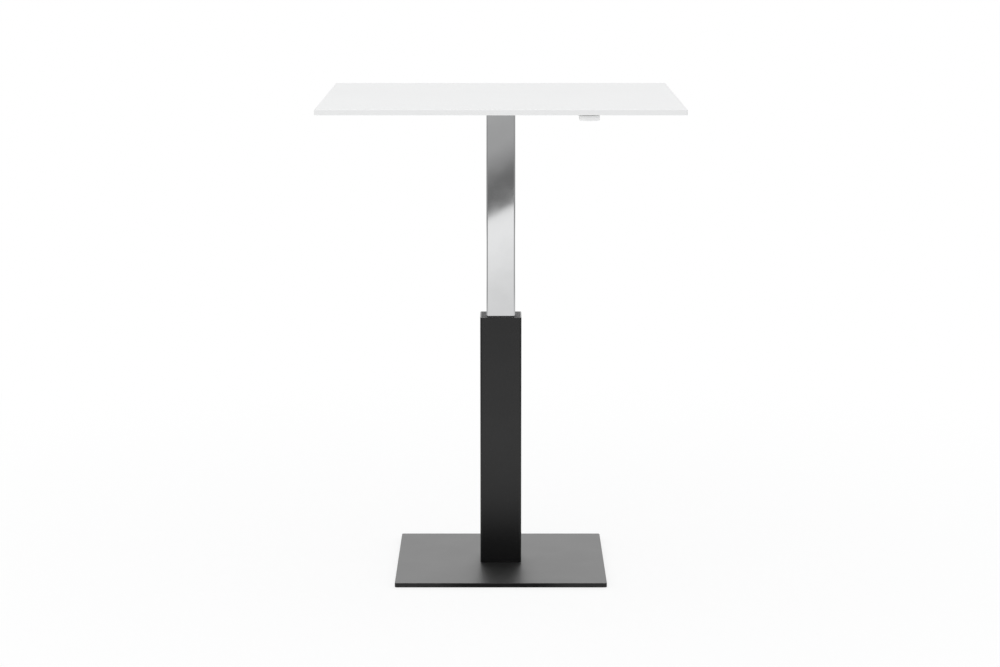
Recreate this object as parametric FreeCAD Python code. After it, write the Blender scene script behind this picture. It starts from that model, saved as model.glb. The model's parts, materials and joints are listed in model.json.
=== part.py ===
import FreeCAD, Part
import math
import os

# Telescoping pedestal table, raised to its full height.
# Millimetres, +Z up, the front (the side with the release paddle) faces -Y.
# The origin is on the floor under the middle of the table.

# Table top
TOP_SIDE = 800.0
TOP_THICKNESS = 12.0
TOP_CORNER_R = 4.0
TOP_EDGE_R = 1.2
RAISED_HEIGHT = 1095.0

# Base plate and glides
BASE_SIDE = 480.0
BASE_THICKNESS = 10.0
BASE_CORNER_R = 5.0
BASE_EDGE_R = 1.0
GLIDE_PAD_D = 26.0
GLIDE_PAD_H = 2.0
GLIDE_STEM_D = 8.0
GLIDE_STEM_L = 6.0
GLIDE_INSET = 34.0

# Lower column with its foot
LOWER_WIDTH = 95.0
LOWER_WALL = 3.0
LOWER_CORNER_R = 5.0
LOWER_HEIGHT = 577.0
LOWER_RIM_R = 0.6
FOOT_THICKNESS = 8.0
FOOT_BOLT_D = 8.0
FOOT_BOLT_SPACING = 58.0
FOOT_BOLT_L = 17.0
FOOT_BOLT_SOCKET = 5.0

# Upper column and its guides
UPPER_WIDTH = 66.0
UPPER_WALL = 2.0
UPPER_CORNER_R = 4.0
UPPER_OVERLAP = 150.0
COLLAR_HEIGHT = 60.0
COLLAR_LEAD_IN = 1.0
COLLAR_EDGE = 0.5
SHOE_HEIGHT = 50.0
SHOE_LIP = 3.0
SHOE_OPENING_D = 40.0
SHOE_SCREW_D = 4.0
SHOE_SCREW_RECESS = 0.6
SHOE_SCREW_SOCKET = 2.5

# Top plate and its fasteners
PLATE_SIDE = 320.0
PLATE_THICKNESS = 5.0
PLATE_CORNER_R = 12.0
PLATE_EDGE = 0.8
PLATE_ACCESS_D = 36.0
TOP_SCREW_D = 6.0
TOP_SCREW_INSET = 20.0
TOP_SCREW_HEAD_D = 11.0
TOP_SCREW_HEAD_H = 3.3
TOP_SCREW_SOCKET = 4.0
INSERT_D = 9.0
INSERT_L = 9.0

# Gas spring
TRAVEL = 370.0
CYLINDER_D = 28.0
CYLINDER_WALL = 2.0
CYLINDER_PLUG = 16.0
STUD_D = 10.0
STUD_WASHER_D = 20.0
STUD_WASHER_T = 1.6
STUD_NUT_AF = 17.0
STUD_NUT_H = 5.6
STUD_TAIL = 0.6
STUD_ROOM = 2.5
GLAND_L = 30.0
GLAND_FLANGE = 6.0
WIPER_D = 19.0
WIPER_H = 4.0
ROD_D = 12.0
ROD_CLEAR_DOWN = 17.0
PISTON_L = 18.0
PISTON_REBOUND = 6.0
PISTON_SPIGOT_D = 8.0
SEAL_H = 4.0
SEAL_DEPTH = 1.7
PISTON_NUT_AF = 13.0
PISTON_NUT_H = 6.0

# Rod hanger in the head of the column
HANGER_DROP = 42.0
HANGER_FLOOR = 4.0
HANGER_WALL = 3.0
HANGER_INSIDE = 36.0
HANGER_DEPTH = 44.0
HANGER_FLANGE = 9.0
HANGER_SCREW_D = 5.0
HANGER_SCREW_L = 12.0
HANGER_SCREW_SPREAD = 24.0
HANGER_SCREW_SOCKET = 3.0
ROD_THREAD_D = 10.0
ROD_NUT_AF = 17.0
ROD_NUT_H = 6.0
ROD_TAIL = 0.5
VALVE_PIN_D = 4.0
VALVE_PIN_RISE = 3.3
VALVE_PIN_DEPTH = 20.0
VALVE_PIN_ROOM = 5.0

# Rocker that presses the valve pin
ROCKER_ARM = 14.0
ROCKER_CABLE_ARM = 10.5
ROCKER_HUB_D = 10.0
ROCKER_BLADE = 8.0
ROCKER_TIP = 3.5
ROCKER_PIN_D = 5.0
RING_D = 10.0
RING_T = 1.0
RING_GROOVE = 0.4
RING_GAP = 1.6
ROCKER_GAP = 0.2

# Release cable
CABLE_DROP = 14.0
SHEATH_D = 5.0
SHEATH_BORE_D = 2.2
WIRE_D = 1.6
WIRE_ENGAGED = 18.0
BARREL_D = 5.0
SHEATH_SEAT = 12.0
COLUMN_RUN = 9.0
LEVER_RUN = 34.0
ADJUSTER_D = 8.0
ADJUSTER_HEAD_D = 12.0
ADJUSTER_HEAD_L = 6.0
ADJUSTER_INSIDE = 6.0
ADJUSTER_OUTSIDE = 23.0
ADJUSTER_NUT_AF = 13.0
ADJUSTER_NUT_H = 4.5
CLIP_LENGTH = 12.0
CLIP_WALL = 1.2
CLIP_FOOT_T = 2.0
CLIP_FOOT_W = 30.0
CLIP_SCREW_SPREAD = 21.0
CLIP_ON_RUN = 14.0
CLIP_TO_PLATE = 20.0

# Release paddle and its housing
LEVER_X = 191.0
LEVER_SETBACK = 36.0
PADDLE_WIDTH = 44.5
PADDLE_REACH = 32.0
PADDLE_LIP_TOP = 4.4
PADDLE_LIP_BOTTOM = 14.8
PADDLE_ROOT = 7.0
PADDLE_CORNER_R = 4.5
PADDLE_NOSE = 1.5
PIVOT_DROP = 5.5
HUB_D = 8.0
HUB_WIDTH = 20.0
LEVER_PIN_D = 4.0
HORN_WIDTH = 10.0
HORN_THICKNESS = 8.0
HOUSING_WIDTH = 58.0
HOUSING_FLANGE = 2.5
HOUSING_CHEEK = 5.5
HOUSING_CHEEK_FRONT = 5.0
HOUSING_CHEEK_BACK = 9.0
HOUSING_BLOCK_GAP = 14.0
HOUSING_BLOCK_L = 22.0
HOUSING_BLOCK_W = 18.0
HOUSING_CORNER_R = 4.0
HOUSING_EDGE = 0.6
SMALL_SCREW_D = 3.8
SMALL_SCREW_L = 10.0
SMALL_SCREW_EDGE = 6.0
SMALL_SCREW_SOCKET = 2.0

# Fits, each a gap on one side
FIT = 0.1
RUNNING_FIT = 0.08
SEAT_FIT = 0.2
SLIDE_FIT = 0.3
BOLT_CLEARANCE = 0.5

# Shares of a piece's own height or corner
COUNTERSUNK_SOCKET = 0.8
ROUND_HEAD_SOCKET = 0.6
ROUND_HEAD_EDGE = 0.7
NUT_CORNER = 0.9
PADDLE_HOLLOW = 0.36

# Two levels closer than this are the same
SAME_LEVEL = 0.001

# Levels
BASE_BOTTOM = GLIDE_PAD_H
BASE_TOP = BASE_BOTTOM + BASE_THICKNESS
FOOT_TOP = BASE_TOP + FOOT_THICKNESS
RIM = BASE_TOP + LOWER_HEIGHT
UNDERSIDE = RAISED_HEIGHT - TOP_THICKNESS
PLATE_BOTTOM = UNDERSIDE - PLATE_THICKNESS
UPPER_BOTTOM = RIM - UPPER_OVERLAP
SHOE_BOTTOM = UPPER_BOTTOM - SHOE_LIP
HANGER_BOTTOM = UNDERSIDE - HANGER_DROP
HANGER_FLOOR_TOP = HANGER_BOTTOM + HANGER_FLOOR
ROD_END = HANGER_FLOOR_TOP + ROD_NUT_H + ROD_TAIL
VALVE_TOP = ROD_END + VALVE_PIN_RISE
ROCKER_SOLE = VALVE_TOP + ROCKER_GAP
CABLE_Z = UNDERSIDE - CABLE_DROP
ROCKER_PIVOT_Z = CABLE_Z - ROCKER_CABLE_ARM
GLAND_TOP = HANGER_BOTTOM - TRAVEL - ROD_CLEAR_DOWN
CYLINDER_TOP = GLAND_TOP - GLAND_FLANGE
GLAND_BOTTOM = CYLINDER_TOP - GLAND_L
PISTON_TOP = GLAND_BOTTOM - PISTON_REBOUND
PISTON_BOTTOM = PISTON_TOP - PISTON_L
PIVOT_Z = UNDERSIDE - PIVOT_DROP

# Lengths front to back
LIP_Y = LEVER_SETBACK - TOP_SIDE / 2
PIVOT_Y = LIP_Y + PADDLE_REACH
BLOCK_FRONT = PIVOT_Y + HOUSING_BLOCK_GAP
BLOCK_BACK = BLOCK_FRONT + HOUSING_BLOCK_L
SHEATH_FRONT = BLOCK_BACK - SHEATH_SEAT
COLUMN_FACE = -UPPER_WIDTH / 2
ADJUSTER_END = COLUMN_FACE - ADJUSTER_OUTSIDE
ADJUSTER_MOUTH = ADJUSTER_END - ADJUSTER_HEAD_L
SHEATH_REAR = ADJUSTER_MOUTH + SHEATH_SEAT
BEND_REAR = ADJUSTER_MOUTH - COLUMN_RUN
BEND_FRONT = BLOCK_BACK + LEVER_RUN

# Widths and corners inside the tubes, no corner sharper than the fit
LOWER_INSIDE = LOWER_WIDTH - 2 * LOWER_WALL
LOWER_INSIDE_R = max(LOWER_CORNER_R - LOWER_WALL, FIT)
UPPER_INSIDE = UPPER_WIDTH - 2 * UPPER_WALL
UPPER_INSIDE_R = max(UPPER_CORNER_R - UPPER_WALL, FIT)
CYLINDER_INSIDE_R = CYLINDER_D / 2 - CYLINDER_WALL

# Directions
X = FreeCAD.Vector(1, 0, 0)
Y = FreeCAD.Vector(0, 1, 0)
Z = FreeCAD.Vector(0, 0, 1)


def vec(x, y, z):
    return FreeCAD.Vector(x, y, z)


def block(x0, x1, y0, y1, z0, z1):
    return Part.makeBox(x1 - x0, y1 - y0, z1 - z0, vec(x0, y0, z0))


def rod(radius, start, direction, length):
    return Part.makeCylinder(radius, length, start, direction)


def rounded_outline(width, depth, radius, z):
    """Closed outline of a rectangle with rounded corners, centred on the axis."""
    a = width / 2
    b = depth / 2
    k = radius * (1 - math.sqrt(0.5))
    edges = []
    for sx, sy, order in ((1, -1, 1), (1, 1, -1), (-1, 1, 1), (-1, -1, -1)):
        along_x = vec(sx * (a - radius), sy * b, z)
        along_y = vec(sx * a, sy * (b - radius), z)
        middle = vec(sx * (a - k), sy * (b - k), z)
        first, last = (along_x, along_y) if order > 0 else (along_y, along_x)
        if edges:
            edges.append(Part.LineSegment(edges[-1].Vertexes[-1].Point, first).toShape())
        edges.append(Part.Arc(first, middle, last).toShape())
    edges.append(Part.LineSegment(edges[-1].Vertexes[-1].Point, edges[0].Vertexes[0].Point).toShape())
    return Part.Wire(edges)


def prism(width, depth, radius, z0, z1):
    return Part.Face(rounded_outline(width, depth, radius, z0)).extrude(vec(0, 0, z1 - z0))


def edges_at(shape, z):
    """Edges of a shape that lie flat at a level."""
    flat = [e for e in shape.Edges if e.BoundBox.ZLength < SAME_LEVEL]
    return [e for e in flat if abs(e.BoundBox.ZMin - z) < SAME_LEVEL]


def inside_span(edge, span):
    """Whether an edge keeps within a square of that width on the axis."""
    box = edge.BoundBox
    return max(abs(box.XMin), abs(box.XMax), abs(box.YMin), abs(box.YMax)) < span / 2 + SAME_LEVEL


def tube(width, radius, inside, inside_radius, z0, z1):
    return prism(width, width, radius, z0, z1).cut(prism(inside, inside, inside_radius, z0, z1))


def hexagon(across_flats, start, direction, length):
    """Hexagonal bar standing on the start point along the direction."""
    corner = across_flats / math.sqrt(3)
    points = []
    for i in range(7):
        angle = math.radians(60 * i)
        points.append(vec(corner * math.cos(angle), corner * math.sin(angle), 0))
    bar = Part.Face(Part.makePolygon(points)).extrude(vec(0, 0, length))
    bar.Placement = FreeCAD.Placement(start, FreeCAD.Rotation(Z, direction))
    return bar


def nut(across_flats, bore, start, direction, height):
    """Hexagon nut with its corners turned off at both ends."""
    corner = across_flats / math.sqrt(3)
    round_bar = rod(corner, start, direction, height)
    rims = [e for e in round_bar.Edges if len(e.Vertexes) == 1]
    round_bar = round_bar.makeChamfer((corner - across_flats / 2) * NUT_CORNER, rims)
    body = hexagon(across_flats, start, direction, height).common(round_bar)
    return body.cut(rod(bore / 2, start, direction, height))


def countersunk(shank, length, start, direction, socket):
    """Countersunk screw, its flat head on the start point and its shank along the direction."""
    depth = shank / 2
    head = Part.makeCone(shank, depth, depth, start, direction)
    screw = head.fuse(rod(shank / 2, start, direction, length)).removeSplitter()
    return screw.cut(hexagon(socket, start, direction, depth * COUNTERSUNK_SOCKET))


def sink(shank, clearance, length, start, direction):
    """Room for a countersunk screw: its seat and its hole."""
    reach = shank + FIT
    hole = shank / 2 + clearance
    seat = Part.makeCone(reach, hole, reach - hole, start, direction)
    return seat.fuse(rod(hole, start, direction, length))


def quarters(spacing):
    half = spacing / 2
    return [(half, half), (-half, half), (-half, -half), (half, -half)]


def plate_points():
    reach = PLATE_SIDE / 2 - TOP_SCREW_INSET
    return [(x, y) for x in (-reach, 0, reach) for y in (-reach, 0, reach) if x or y]


def group(solids):
    return Part.makeCompound(solids)


# Standing part

def base_plate():
    plate = prism(BASE_SIDE, BASE_SIDE, BASE_CORNER_R, BASE_BOTTOM, BASE_TOP)
    plate = plate.makeFillet(BASE_EDGE_R, edges_at(plate, BASE_TOP))
    plate = plate.makeChamfer(BASE_EDGE_R / 2, edges_at(plate, BASE_BOTTOM))
    for x, y in quarters(FOOT_BOLT_SPACING):
        plate = plate.cut(sink(FOOT_BOLT_D, BOLT_CLEARANCE, BASE_THICKNESS, vec(x, y, BASE_BOTTOM), Z))
    for x, y in quarters(BASE_SIDE - 2 * GLIDE_INSET):
        plate = plate.cut(rod(GLIDE_STEM_D / 2 + FIT, vec(x, y, BASE_BOTTOM), Z, GLIDE_STEM_L + FIT))
    return plate.cut(rod(STUD_WASHER_D / 2 + STUD_ROOM, vec(0, 0, BASE_BOTTOM), Z, BASE_THICKNESS))


def base_glides():
    glides = []
    for x, y in quarters(BASE_SIDE - 2 * GLIDE_INSET):
        pad = rod(GLIDE_PAD_D / 2, vec(x, y, 0), Z, GLIDE_PAD_H)
        pad = pad.makeChamfer(GLIDE_PAD_H / 4, edges_at(pad, 0))
        stem = rod(GLIDE_STEM_D / 2, vec(x, y, 0), Z, GLIDE_PAD_H + GLIDE_STEM_L)
        glides.append(pad.fuse(stem).removeSplitter())
    return group(glides)


def lower_column():
    column = tube(LOWER_WIDTH, LOWER_CORNER_R, LOWER_INSIDE, LOWER_INSIDE_R, BASE_TOP, RIM)
    rim = [e for e in edges_at(column, RIM) if not inside_span(e, LOWER_INSIDE)]
    return column.makeFillet(LOWER_RIM_R, rim)


def column_foot():
    side = LOWER_INSIDE - 2 * SEAT_FIT
    foot = prism(side, side, LOWER_INSIDE_R, BASE_TOP, FOOT_TOP)
    for x, y in quarters(FOOT_BOLT_SPACING):
        foot = foot.cut(rod(FOOT_BOLT_D / 2 + FIT, vec(x, y, BASE_TOP), Z, FOOT_THICKNESS))
    return foot.cut(rod(STUD_D / 2 + FIT, vec(0, 0, BASE_TOP), Z, FOOT_THICKNESS))


def foot_bolts():
    bolts = []
    for x, y in quarters(FOOT_BOLT_SPACING):
        start = vec(x, y, BASE_BOTTOM)
        bolts.append(countersunk(FOOT_BOLT_D, FOOT_BOLT_L, start, Z, FOOT_BOLT_SOCKET))
    return group(bolts)


def guide_collar():
    side = LOWER_INSIDE - 2 * SEAT_FIT
    collar = prism(side, side, LOWER_INSIDE_R, RIM - COLLAR_HEIGHT, RIM)
    run = UPPER_WIDTH + 2 * SLIDE_FIT
    run_r = UPPER_CORNER_R + SLIDE_FIT
    collar = collar.makeChamfer(COLLAR_EDGE, edges_at(collar, RIM))
    collar = collar.cut(prism(run, run, run_r, RIM - COLLAR_HEIGHT, RIM))
    mouth = [e for e in edges_at(collar, RIM) if inside_span(e, run)]
    return collar.makeChamfer(COLLAR_LEAD_IN, mouth)


def gas_cylinder():
    body = rod(CYLINDER_D / 2, vec(0, 0, FOOT_TOP), Z, CYLINDER_TOP - FOOT_TOP)
    floor = FOOT_TOP + CYLINDER_PLUG
    body = body.cut(rod(CYLINDER_INSIDE_R, vec(0, 0, floor), Z, CYLINDER_TOP - floor))
    tail = STUD_WASHER_T + STUD_NUT_H + STUD_TAIL + FOOT_THICKNESS
    return body.fuse(rod(STUD_D / 2, vec(0, 0, FOOT_TOP - tail), Z, tail + CYLINDER_PLUG / 2))


def cylinder_washer():
    start = vec(0, 0, BASE_TOP - STUD_WASHER_T)
    disc = rod(STUD_WASHER_D / 2, start, Z, STUD_WASHER_T)
    return disc.cut(rod(STUD_D / 2 + FIT, start, Z, STUD_WASHER_T))


def cylinder_nut():
    start = vec(0, 0, BASE_TOP - STUD_WASHER_T)
    return nut(STUD_NUT_AF, STUD_D + 2 * FIT, start, -Z, STUD_NUT_H)


def cylinder_gland():
    body = rod(CYLINDER_INSIDE_R - FIT, vec(0, 0, GLAND_BOTTOM), Z, GLAND_L)
    flange = rod(CYLINDER_D / 2, vec(0, 0, CYLINDER_TOP), Z, GLAND_FLANGE)
    flange = flange.makeFillet(GLAND_FLANGE / 4, edges_at(flange, GLAND_TOP))
    bore = rod(ROD_D / 2 + RUNNING_FIT, vec(0, 0, GLAND_BOTTOM), Z, GLAND_L + GLAND_FLANGE)
    return body.fuse(flange).cut(bore)


def rod_wiper():
    ring = rod(WIPER_D / 2, vec(0, 0, GLAND_TOP), Z, WIPER_H)
    ring = ring.makeChamfer(WIPER_H / 3, edges_at(ring, GLAND_TOP + WIPER_H))
    return ring.cut(rod(ROD_D / 2 + RUNNING_FIT, vec(0, 0, GLAND_TOP), Z, WIPER_H))


# Rising part

def table_top():
    board = prism(TOP_SIDE, TOP_SIDE, TOP_CORNER_R, UNDERSIDE, RAISED_HEIGHT)
    board = board.makeFillet(TOP_EDGE_R, edges_at(board, RAISED_HEIGHT) + edges_at(board, UNDERSIDE))
    for x, y in plate_points():
        board = board.cut(rod(INSERT_D / 2 + FIT, vec(x, y, UNDERSIDE), Z, INSERT_L + FIT))
    housing_hole = SMALL_SCREW_L - HOUSING_FLANGE + FIT
    for x, y in housing_screw_points():
        board = board.cut(rod(SMALL_SCREW_D / 2 + FIT, vec(x, y, UNDERSIDE), Z, housing_hole))
    clip_hole = SMALL_SCREW_L - CLIP_FOOT_T + FIT
    for x, y in clip_screw_points():
        board = board.cut(rod(SMALL_SCREW_D / 2 + FIT, vec(x, y, UNDERSIDE), Z, clip_hole))
    return board


def top_inserts():
    inserts = []
    for x, y in plate_points():
        start = vec(x, y, UNDERSIDE)
        sleeve = rod(INSERT_D / 2, start, Z, INSERT_L)
        inserts.append(sleeve.cut(rod(TOP_SCREW_D / 2 + FIT, start, Z, INSERT_L)))
    return group(inserts)


def top_plate():
    plate = prism(PLATE_SIDE, PLATE_SIDE, PLATE_CORNER_R, PLATE_BOTTOM, UNDERSIDE)
    plate = plate.makeChamfer(PLATE_EDGE, edges_at(plate, PLATE_BOTTOM))
    hole = TOP_SCREW_D / 2 + BOLT_CLEARANCE
    for x, y in plate_points():
        plate = plate.cut(rod(hole, vec(x, y, PLATE_BOTTOM), Z, PLATE_THICKNESS))
    for x, y in hanger_screw_points():
        plate = plate.cut(sink(HANGER_SCREW_D, FIT, PLATE_THICKNESS, vec(x, y, UNDERSIDE), -Z))
    return plate.cut(rod(PLATE_ACCESS_D / 2, vec(0, 0, PLATE_BOTTOM), Z, PLATE_THICKNESS))


def top_screws():
    screws = []
    head_end = PLATE_BOTTOM - TOP_SCREW_HEAD_H
    for x, y in plate_points():
        start = vec(x, y, PLATE_BOTTOM)
        head = rod(TOP_SCREW_HEAD_D / 2, start, -Z, TOP_SCREW_HEAD_H)
        head = head.makeFillet(TOP_SCREW_HEAD_H * ROUND_HEAD_EDGE, edges_at(head, head_end))
        shank = rod(TOP_SCREW_D / 2, start, Z, PLATE_THICKNESS + INSERT_L - BOLT_CLEARANCE)
        depth = TOP_SCREW_HEAD_H * ROUND_HEAD_SOCKET
        socket = hexagon(TOP_SCREW_SOCKET, vec(x, y, head_end), Z, depth)
        screws.append(head.fuse(shank).cut(socket))
    return group(screws)


def shoe_screw_sites():
    """Head centre and inward direction of the screw in each side of the guide shoe."""
    face = LOWER_INSIDE / 2 - SLIDE_FIT - SHOE_SCREW_RECESS
    z = UPPER_BOTTOM + (SHOE_HEIGHT - SHOE_LIP) / 2
    return [(vec(side.x * face, side.y * face, z), -side) for side in (X, Y, -X, -Y)]


def shoe_screw_length():
    return LOWER_INSIDE / 2 - SLIDE_FIT - SHOE_SCREW_RECESS - UPPER_INSIDE / 2


def upper_column():
    column = tube(UPPER_WIDTH, UPPER_CORNER_R, UPPER_INSIDE, UPPER_INSIDE_R, UPPER_BOTTOM, PLATE_BOTTOM)
    for start, inward in shoe_screw_sites():
        column = column.cut(rod(SHOE_SCREW_D / 2 + FIT, start, inward, shoe_screw_length()))
    port = rod(ADJUSTER_D / 2 + FIT, vec(0, COLUMN_FACE, CABLE_Z), Y, UPPER_WALL)
    return column.cut(port)


def lower_guide():
    side = LOWER_INSIDE - 2 * SLIDE_FIT
    top = SHOE_BOTTOM + SHOE_HEIGHT
    shoe = prism(side, side, LOWER_INSIDE_R, SHOE_BOTTOM, top)
    shoe = shoe.makeChamfer(COLLAR_LEAD_IN, edges_at(shoe, SHOE_BOTTOM) + edges_at(shoe, top))
    pocket = UPPER_WIDTH + 2 * FIT
    shoe = shoe.cut(prism(pocket, pocket, UPPER_CORNER_R + FIT, UPPER_BOTTOM, top))
    shoe = shoe.cut(rod(SHOE_OPENING_D / 2, vec(0, 0, SHOE_BOTTOM), Z, SHOE_LIP))
    for start, inward in shoe_screw_sites():
        mouth = rod(SHOE_SCREW_D + FIT, start, -inward, SHOE_SCREW_RECESS)
        shoe = shoe.cut(mouth).cut(sink(SHOE_SCREW_D, FIT, shoe_screw_length(), start, inward))
    return shoe


def guide_screws():
    screws = []
    for start, inward in shoe_screw_sites():
        screws.append(countersunk(SHOE_SCREW_D, shoe_screw_length(), start, inward, SHOE_SCREW_SOCKET))
    return group(screws)


def hanger_screw_points():
    x = HANGER_INSIDE / 2 + HANGER_WALL + HANGER_FLANGE / 2
    return [(sx * x, sy * HANGER_SCREW_SPREAD / 2) for sx in (-1, 1) for sy in (-1, 1)]


def rod_hanger():
    inner = HANGER_INSIDE / 2
    outer = inner + HANGER_WALL
    reach = outer + HANGER_FLANGE
    y = HANGER_DEPTH / 2
    body = block(-outer, outer, -y, y, HANGER_BOTTOM, PLATE_BOTTOM)
    bends = [e for e in edges_at(body, HANGER_BOTTOM) if e.BoundBox.YLength > HANGER_DEPTH / 2]
    body = body.makeFillet(HANGER_WALL, bends)
    for side in (-1, 1):
        x0, x1 = sorted((side * inner, side * reach))
        body = body.fuse(block(x0, x1, -y, y, PLATE_BOTTOM - HANGER_WALL, PLATE_BOTTOM))
    body = body.cut(block(-inner, inner, -y, y, HANGER_FLOOR_TOP, PLATE_BOTTOM)).removeSplitter()
    body = body.cut(rod(ROD_THREAD_D / 2 + FIT, vec(0, 0, HANGER_BOTTOM), Z, HANGER_FLOOR))
    body = body.cut(rod(ROCKER_PIN_D / 2 + FIT, vec(-outer, ROCKER_ARM, ROCKER_PIVOT_Z), X, 2 * outer))
    for x, y in hanger_screw_points():
        body = body.cut(rod(HANGER_SCREW_D / 2 + FIT, vec(x, y, PLATE_BOTTOM), -Z, HANGER_WALL))
    return body


def hanger_screws():
    screws = []
    for x, y in hanger_screw_points():
        start = vec(x, y, UNDERSIDE)
        screws.append(countersunk(HANGER_SCREW_D, HANGER_SCREW_L, start, -Z, HANGER_SCREW_SOCKET))
    return group(screws)


def piston_rod():
    body = rod(ROD_D / 2, vec(0, 0, PISTON_TOP), Z, HANGER_BOTTOM - PISTON_TOP)
    body = body.fuse(rod(ROD_THREAD_D / 2, vec(0, 0, HANGER_BOTTOM), Z, ROD_END - HANGER_BOTTOM))
    spigot = PISTON_L + PISTON_NUT_H
    body = body.fuse(rod(PISTON_SPIGOT_D / 2, vec(0, 0, PISTON_TOP - spigot), Z, spigot))
    depth = VALVE_PIN_DEPTH + VALVE_PIN_ROOM
    return body.cut(rod(VALVE_PIN_D / 2 + RUNNING_FIT, vec(0, 0, ROD_END - depth), Z, depth))


def rod_nut():
    return nut(ROD_NUT_AF, ROD_THREAD_D + 2 * FIT, vec(0, 0, HANGER_FLOOR_TOP), Z, ROD_NUT_H)


def seal_bottom():
    return PISTON_BOTTOM + (PISTON_L - SEAL_H) / 2


def piston():
    radius = CYLINDER_INSIDE_R - SLIDE_FIT
    body = rod(radius, vec(0, 0, PISTON_BOTTOM), Z, PISTON_L)
    groove = rod(radius, vec(0, 0, seal_bottom()), Z, SEAL_H)
    groove = groove.cut(rod(radius - SEAL_DEPTH, vec(0, 0, seal_bottom()), Z, SEAL_H))
    return body.cut(groove).cut(rod(PISTON_SPIGOT_D / 2 + FIT, vec(0, 0, PISTON_BOTTOM), Z, PISTON_L))


def piston_seal():
    radius = CYLINDER_INSIDE_R - SLIDE_FIT
    start = vec(0, 0, seal_bottom() + FIT)
    height = SEAL_H - 2 * FIT
    return rod(radius, start, Z, height).cut(rod(radius - SEAL_DEPTH + FIT, start, Z, height))


def piston_nut():
    return nut(PISTON_NUT_AF, PISTON_SPIGOT_D + 2 * FIT, vec(0, 0, PISTON_BOTTOM), -Z, PISTON_NUT_H)


def valve_pin():
    radius = VALVE_PIN_D / 2
    bottom = ROD_END - VALVE_PIN_DEPTH
    shank = rod(radius, vec(0, 0, bottom), Z, VALVE_TOP - radius - bottom)
    return shank.fuse(Part.makeSphere(radius, vec(0, 0, VALVE_TOP - radius))).removeSplitter()


def release_rocker():
    hub_r = ROCKER_HUB_D / 2
    half = HANGER_INSIDE / 2 - SLIDE_FIT
    blade = ROCKER_BLADE / 2
    hub_end = vec(-half, ROCKER_ARM, ROCKER_PIVOT_Z)
    hub = rod(hub_r, hub_end, X, 2 * half)
    foot = block(-blade, blade, -ROCKER_TIP, ROCKER_ARM, ROCKER_SOLE, ROCKER_PIVOT_Z + hub_r / 2)
    post = block(-blade, blade, ROCKER_ARM - hub_r, ROCKER_ARM + hub_r, ROCKER_PIVOT_Z, CABLE_Z)
    eye = rod(hub_r, vec(-blade, ROCKER_ARM, CABLE_Z), X, ROCKER_BLADE)
    body = hub.fuse([foot, post, eye]).removeSplitter()
    body = body.cut(rod(ROCKER_PIN_D / 2 + RUNNING_FIT, hub_end, X, 2 * half))
    body = body.cut(rod(BARREL_D / 2 + SEAT_FIT, vec(-blade, ROCKER_ARM, CABLE_Z), X, ROCKER_BLADE))
    slot = WIRE_D / 2 + SEAT_FIT
    reach = ROCKER_ARM - 2 * hub_r
    return body.cut(block(-slot, slot, reach, ROCKER_ARM, CABLE_Z - BARREL_D / 2, CABLE_Z + 2 * hub_r))


def rocker_pin():
    half = HANGER_INSIDE / 2 + HANGER_WALL + FIT
    length = half + 2 * RING_T
    pin = rod(ROCKER_PIN_D / 2, vec(-length, ROCKER_ARM, ROCKER_PIVOT_Z), X, 2 * length)
    for x in (-half - RING_T, half):
        start = vec(x, ROCKER_ARM, ROCKER_PIVOT_Z)
        core = rod(ROCKER_PIN_D / 2 - RING_GROOVE, start, X, RING_T)
        pin = pin.cut(rod(ROCKER_PIN_D, start, X, RING_T).cut(core))
    return pin


def rocker_rings():
    half = HANGER_INSIDE / 2 + HANGER_WALL + FIT
    gap = RING_GAP / 2
    rings = []
    for x in (-half - RING_T, half):
        start = vec(x, ROCKER_ARM, ROCKER_PIVOT_Z)
        bore = rod(ROCKER_PIN_D / 2 - RING_GROOVE, start, X, RING_T)
        opening = block(x, x + RING_T, ROCKER_ARM - gap, ROCKER_ARM + gap, 0, ROCKER_PIVOT_Z)
        rings.append(rod(RING_D / 2, start, X, RING_T).cut(bore).cut(opening))
    return group(rings)


# Release cable

def bend_numbers():
    """Radius and angle of the two equal bends that carry the cable across to the column."""
    run = BEND_REAR - BEND_FRONT
    angle = 2 * math.atan(LEVER_X / run)
    return run / (2 * math.sin(angle)), angle


def bend_point(angle):
    """Point on the bend nearer the lever, at an angle from its start."""
    radius = bend_numbers()[0]
    return vec(LEVER_X - radius * (1 - math.cos(angle)), BEND_FRONT + radius * math.sin(angle), CABLE_Z)


def cable_route(front, rear):
    radius, angle = bend_numbers()
    half_way = vec(LEVER_X / 2, (BEND_FRONT + BEND_REAR) / 2, CABLE_Z)
    first_mid = bend_point(angle / 2)
    second_mid = vec(2 * half_way.x - first_mid.x, 2 * half_way.y - first_mid.y, CABLE_Z)
    lever_end = vec(LEVER_X, BEND_FRONT, CABLE_Z)
    column_end = vec(0, BEND_REAR, CABLE_Z)
    return Part.Wire([
        Part.LineSegment(vec(LEVER_X, front, CABLE_Z), lever_end).toShape(),
        Part.Arc(lever_end, first_mid, half_way).toShape(),
        Part.Arc(half_way, second_mid, column_end).toShape(),
        Part.LineSegment(column_end, vec(0, rear, CABLE_Z)).toShape(),
    ])


def cable_sheath():
    route = cable_route(SHEATH_FRONT, SHEATH_REAR)
    start = vec(LEVER_X, SHEATH_FRONT, CABLE_Z)
    outside = route.makePipeShell([Part.Wire(Part.makeCircle(SHEATH_D / 2, start, Y))], True, False)
    inside = route.makePipeShell([Part.Wire(Part.makeCircle(SHEATH_BORE_D / 2, start, Y))], True, False)
    return outside.cut(inside)


def cable_wire_front():
    barrel = rod(BARREL_D / 2, vec(LEVER_X - HORN_WIDTH / 2, PIVOT_Y, CABLE_Z), X, HORN_WIDTH)
    wire = rod(WIRE_D / 2, vec(LEVER_X, PIVOT_Y, CABLE_Z), Y, SHEATH_FRONT + WIRE_ENGAGED - PIVOT_Y)
    return barrel.fuse(wire)


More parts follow.
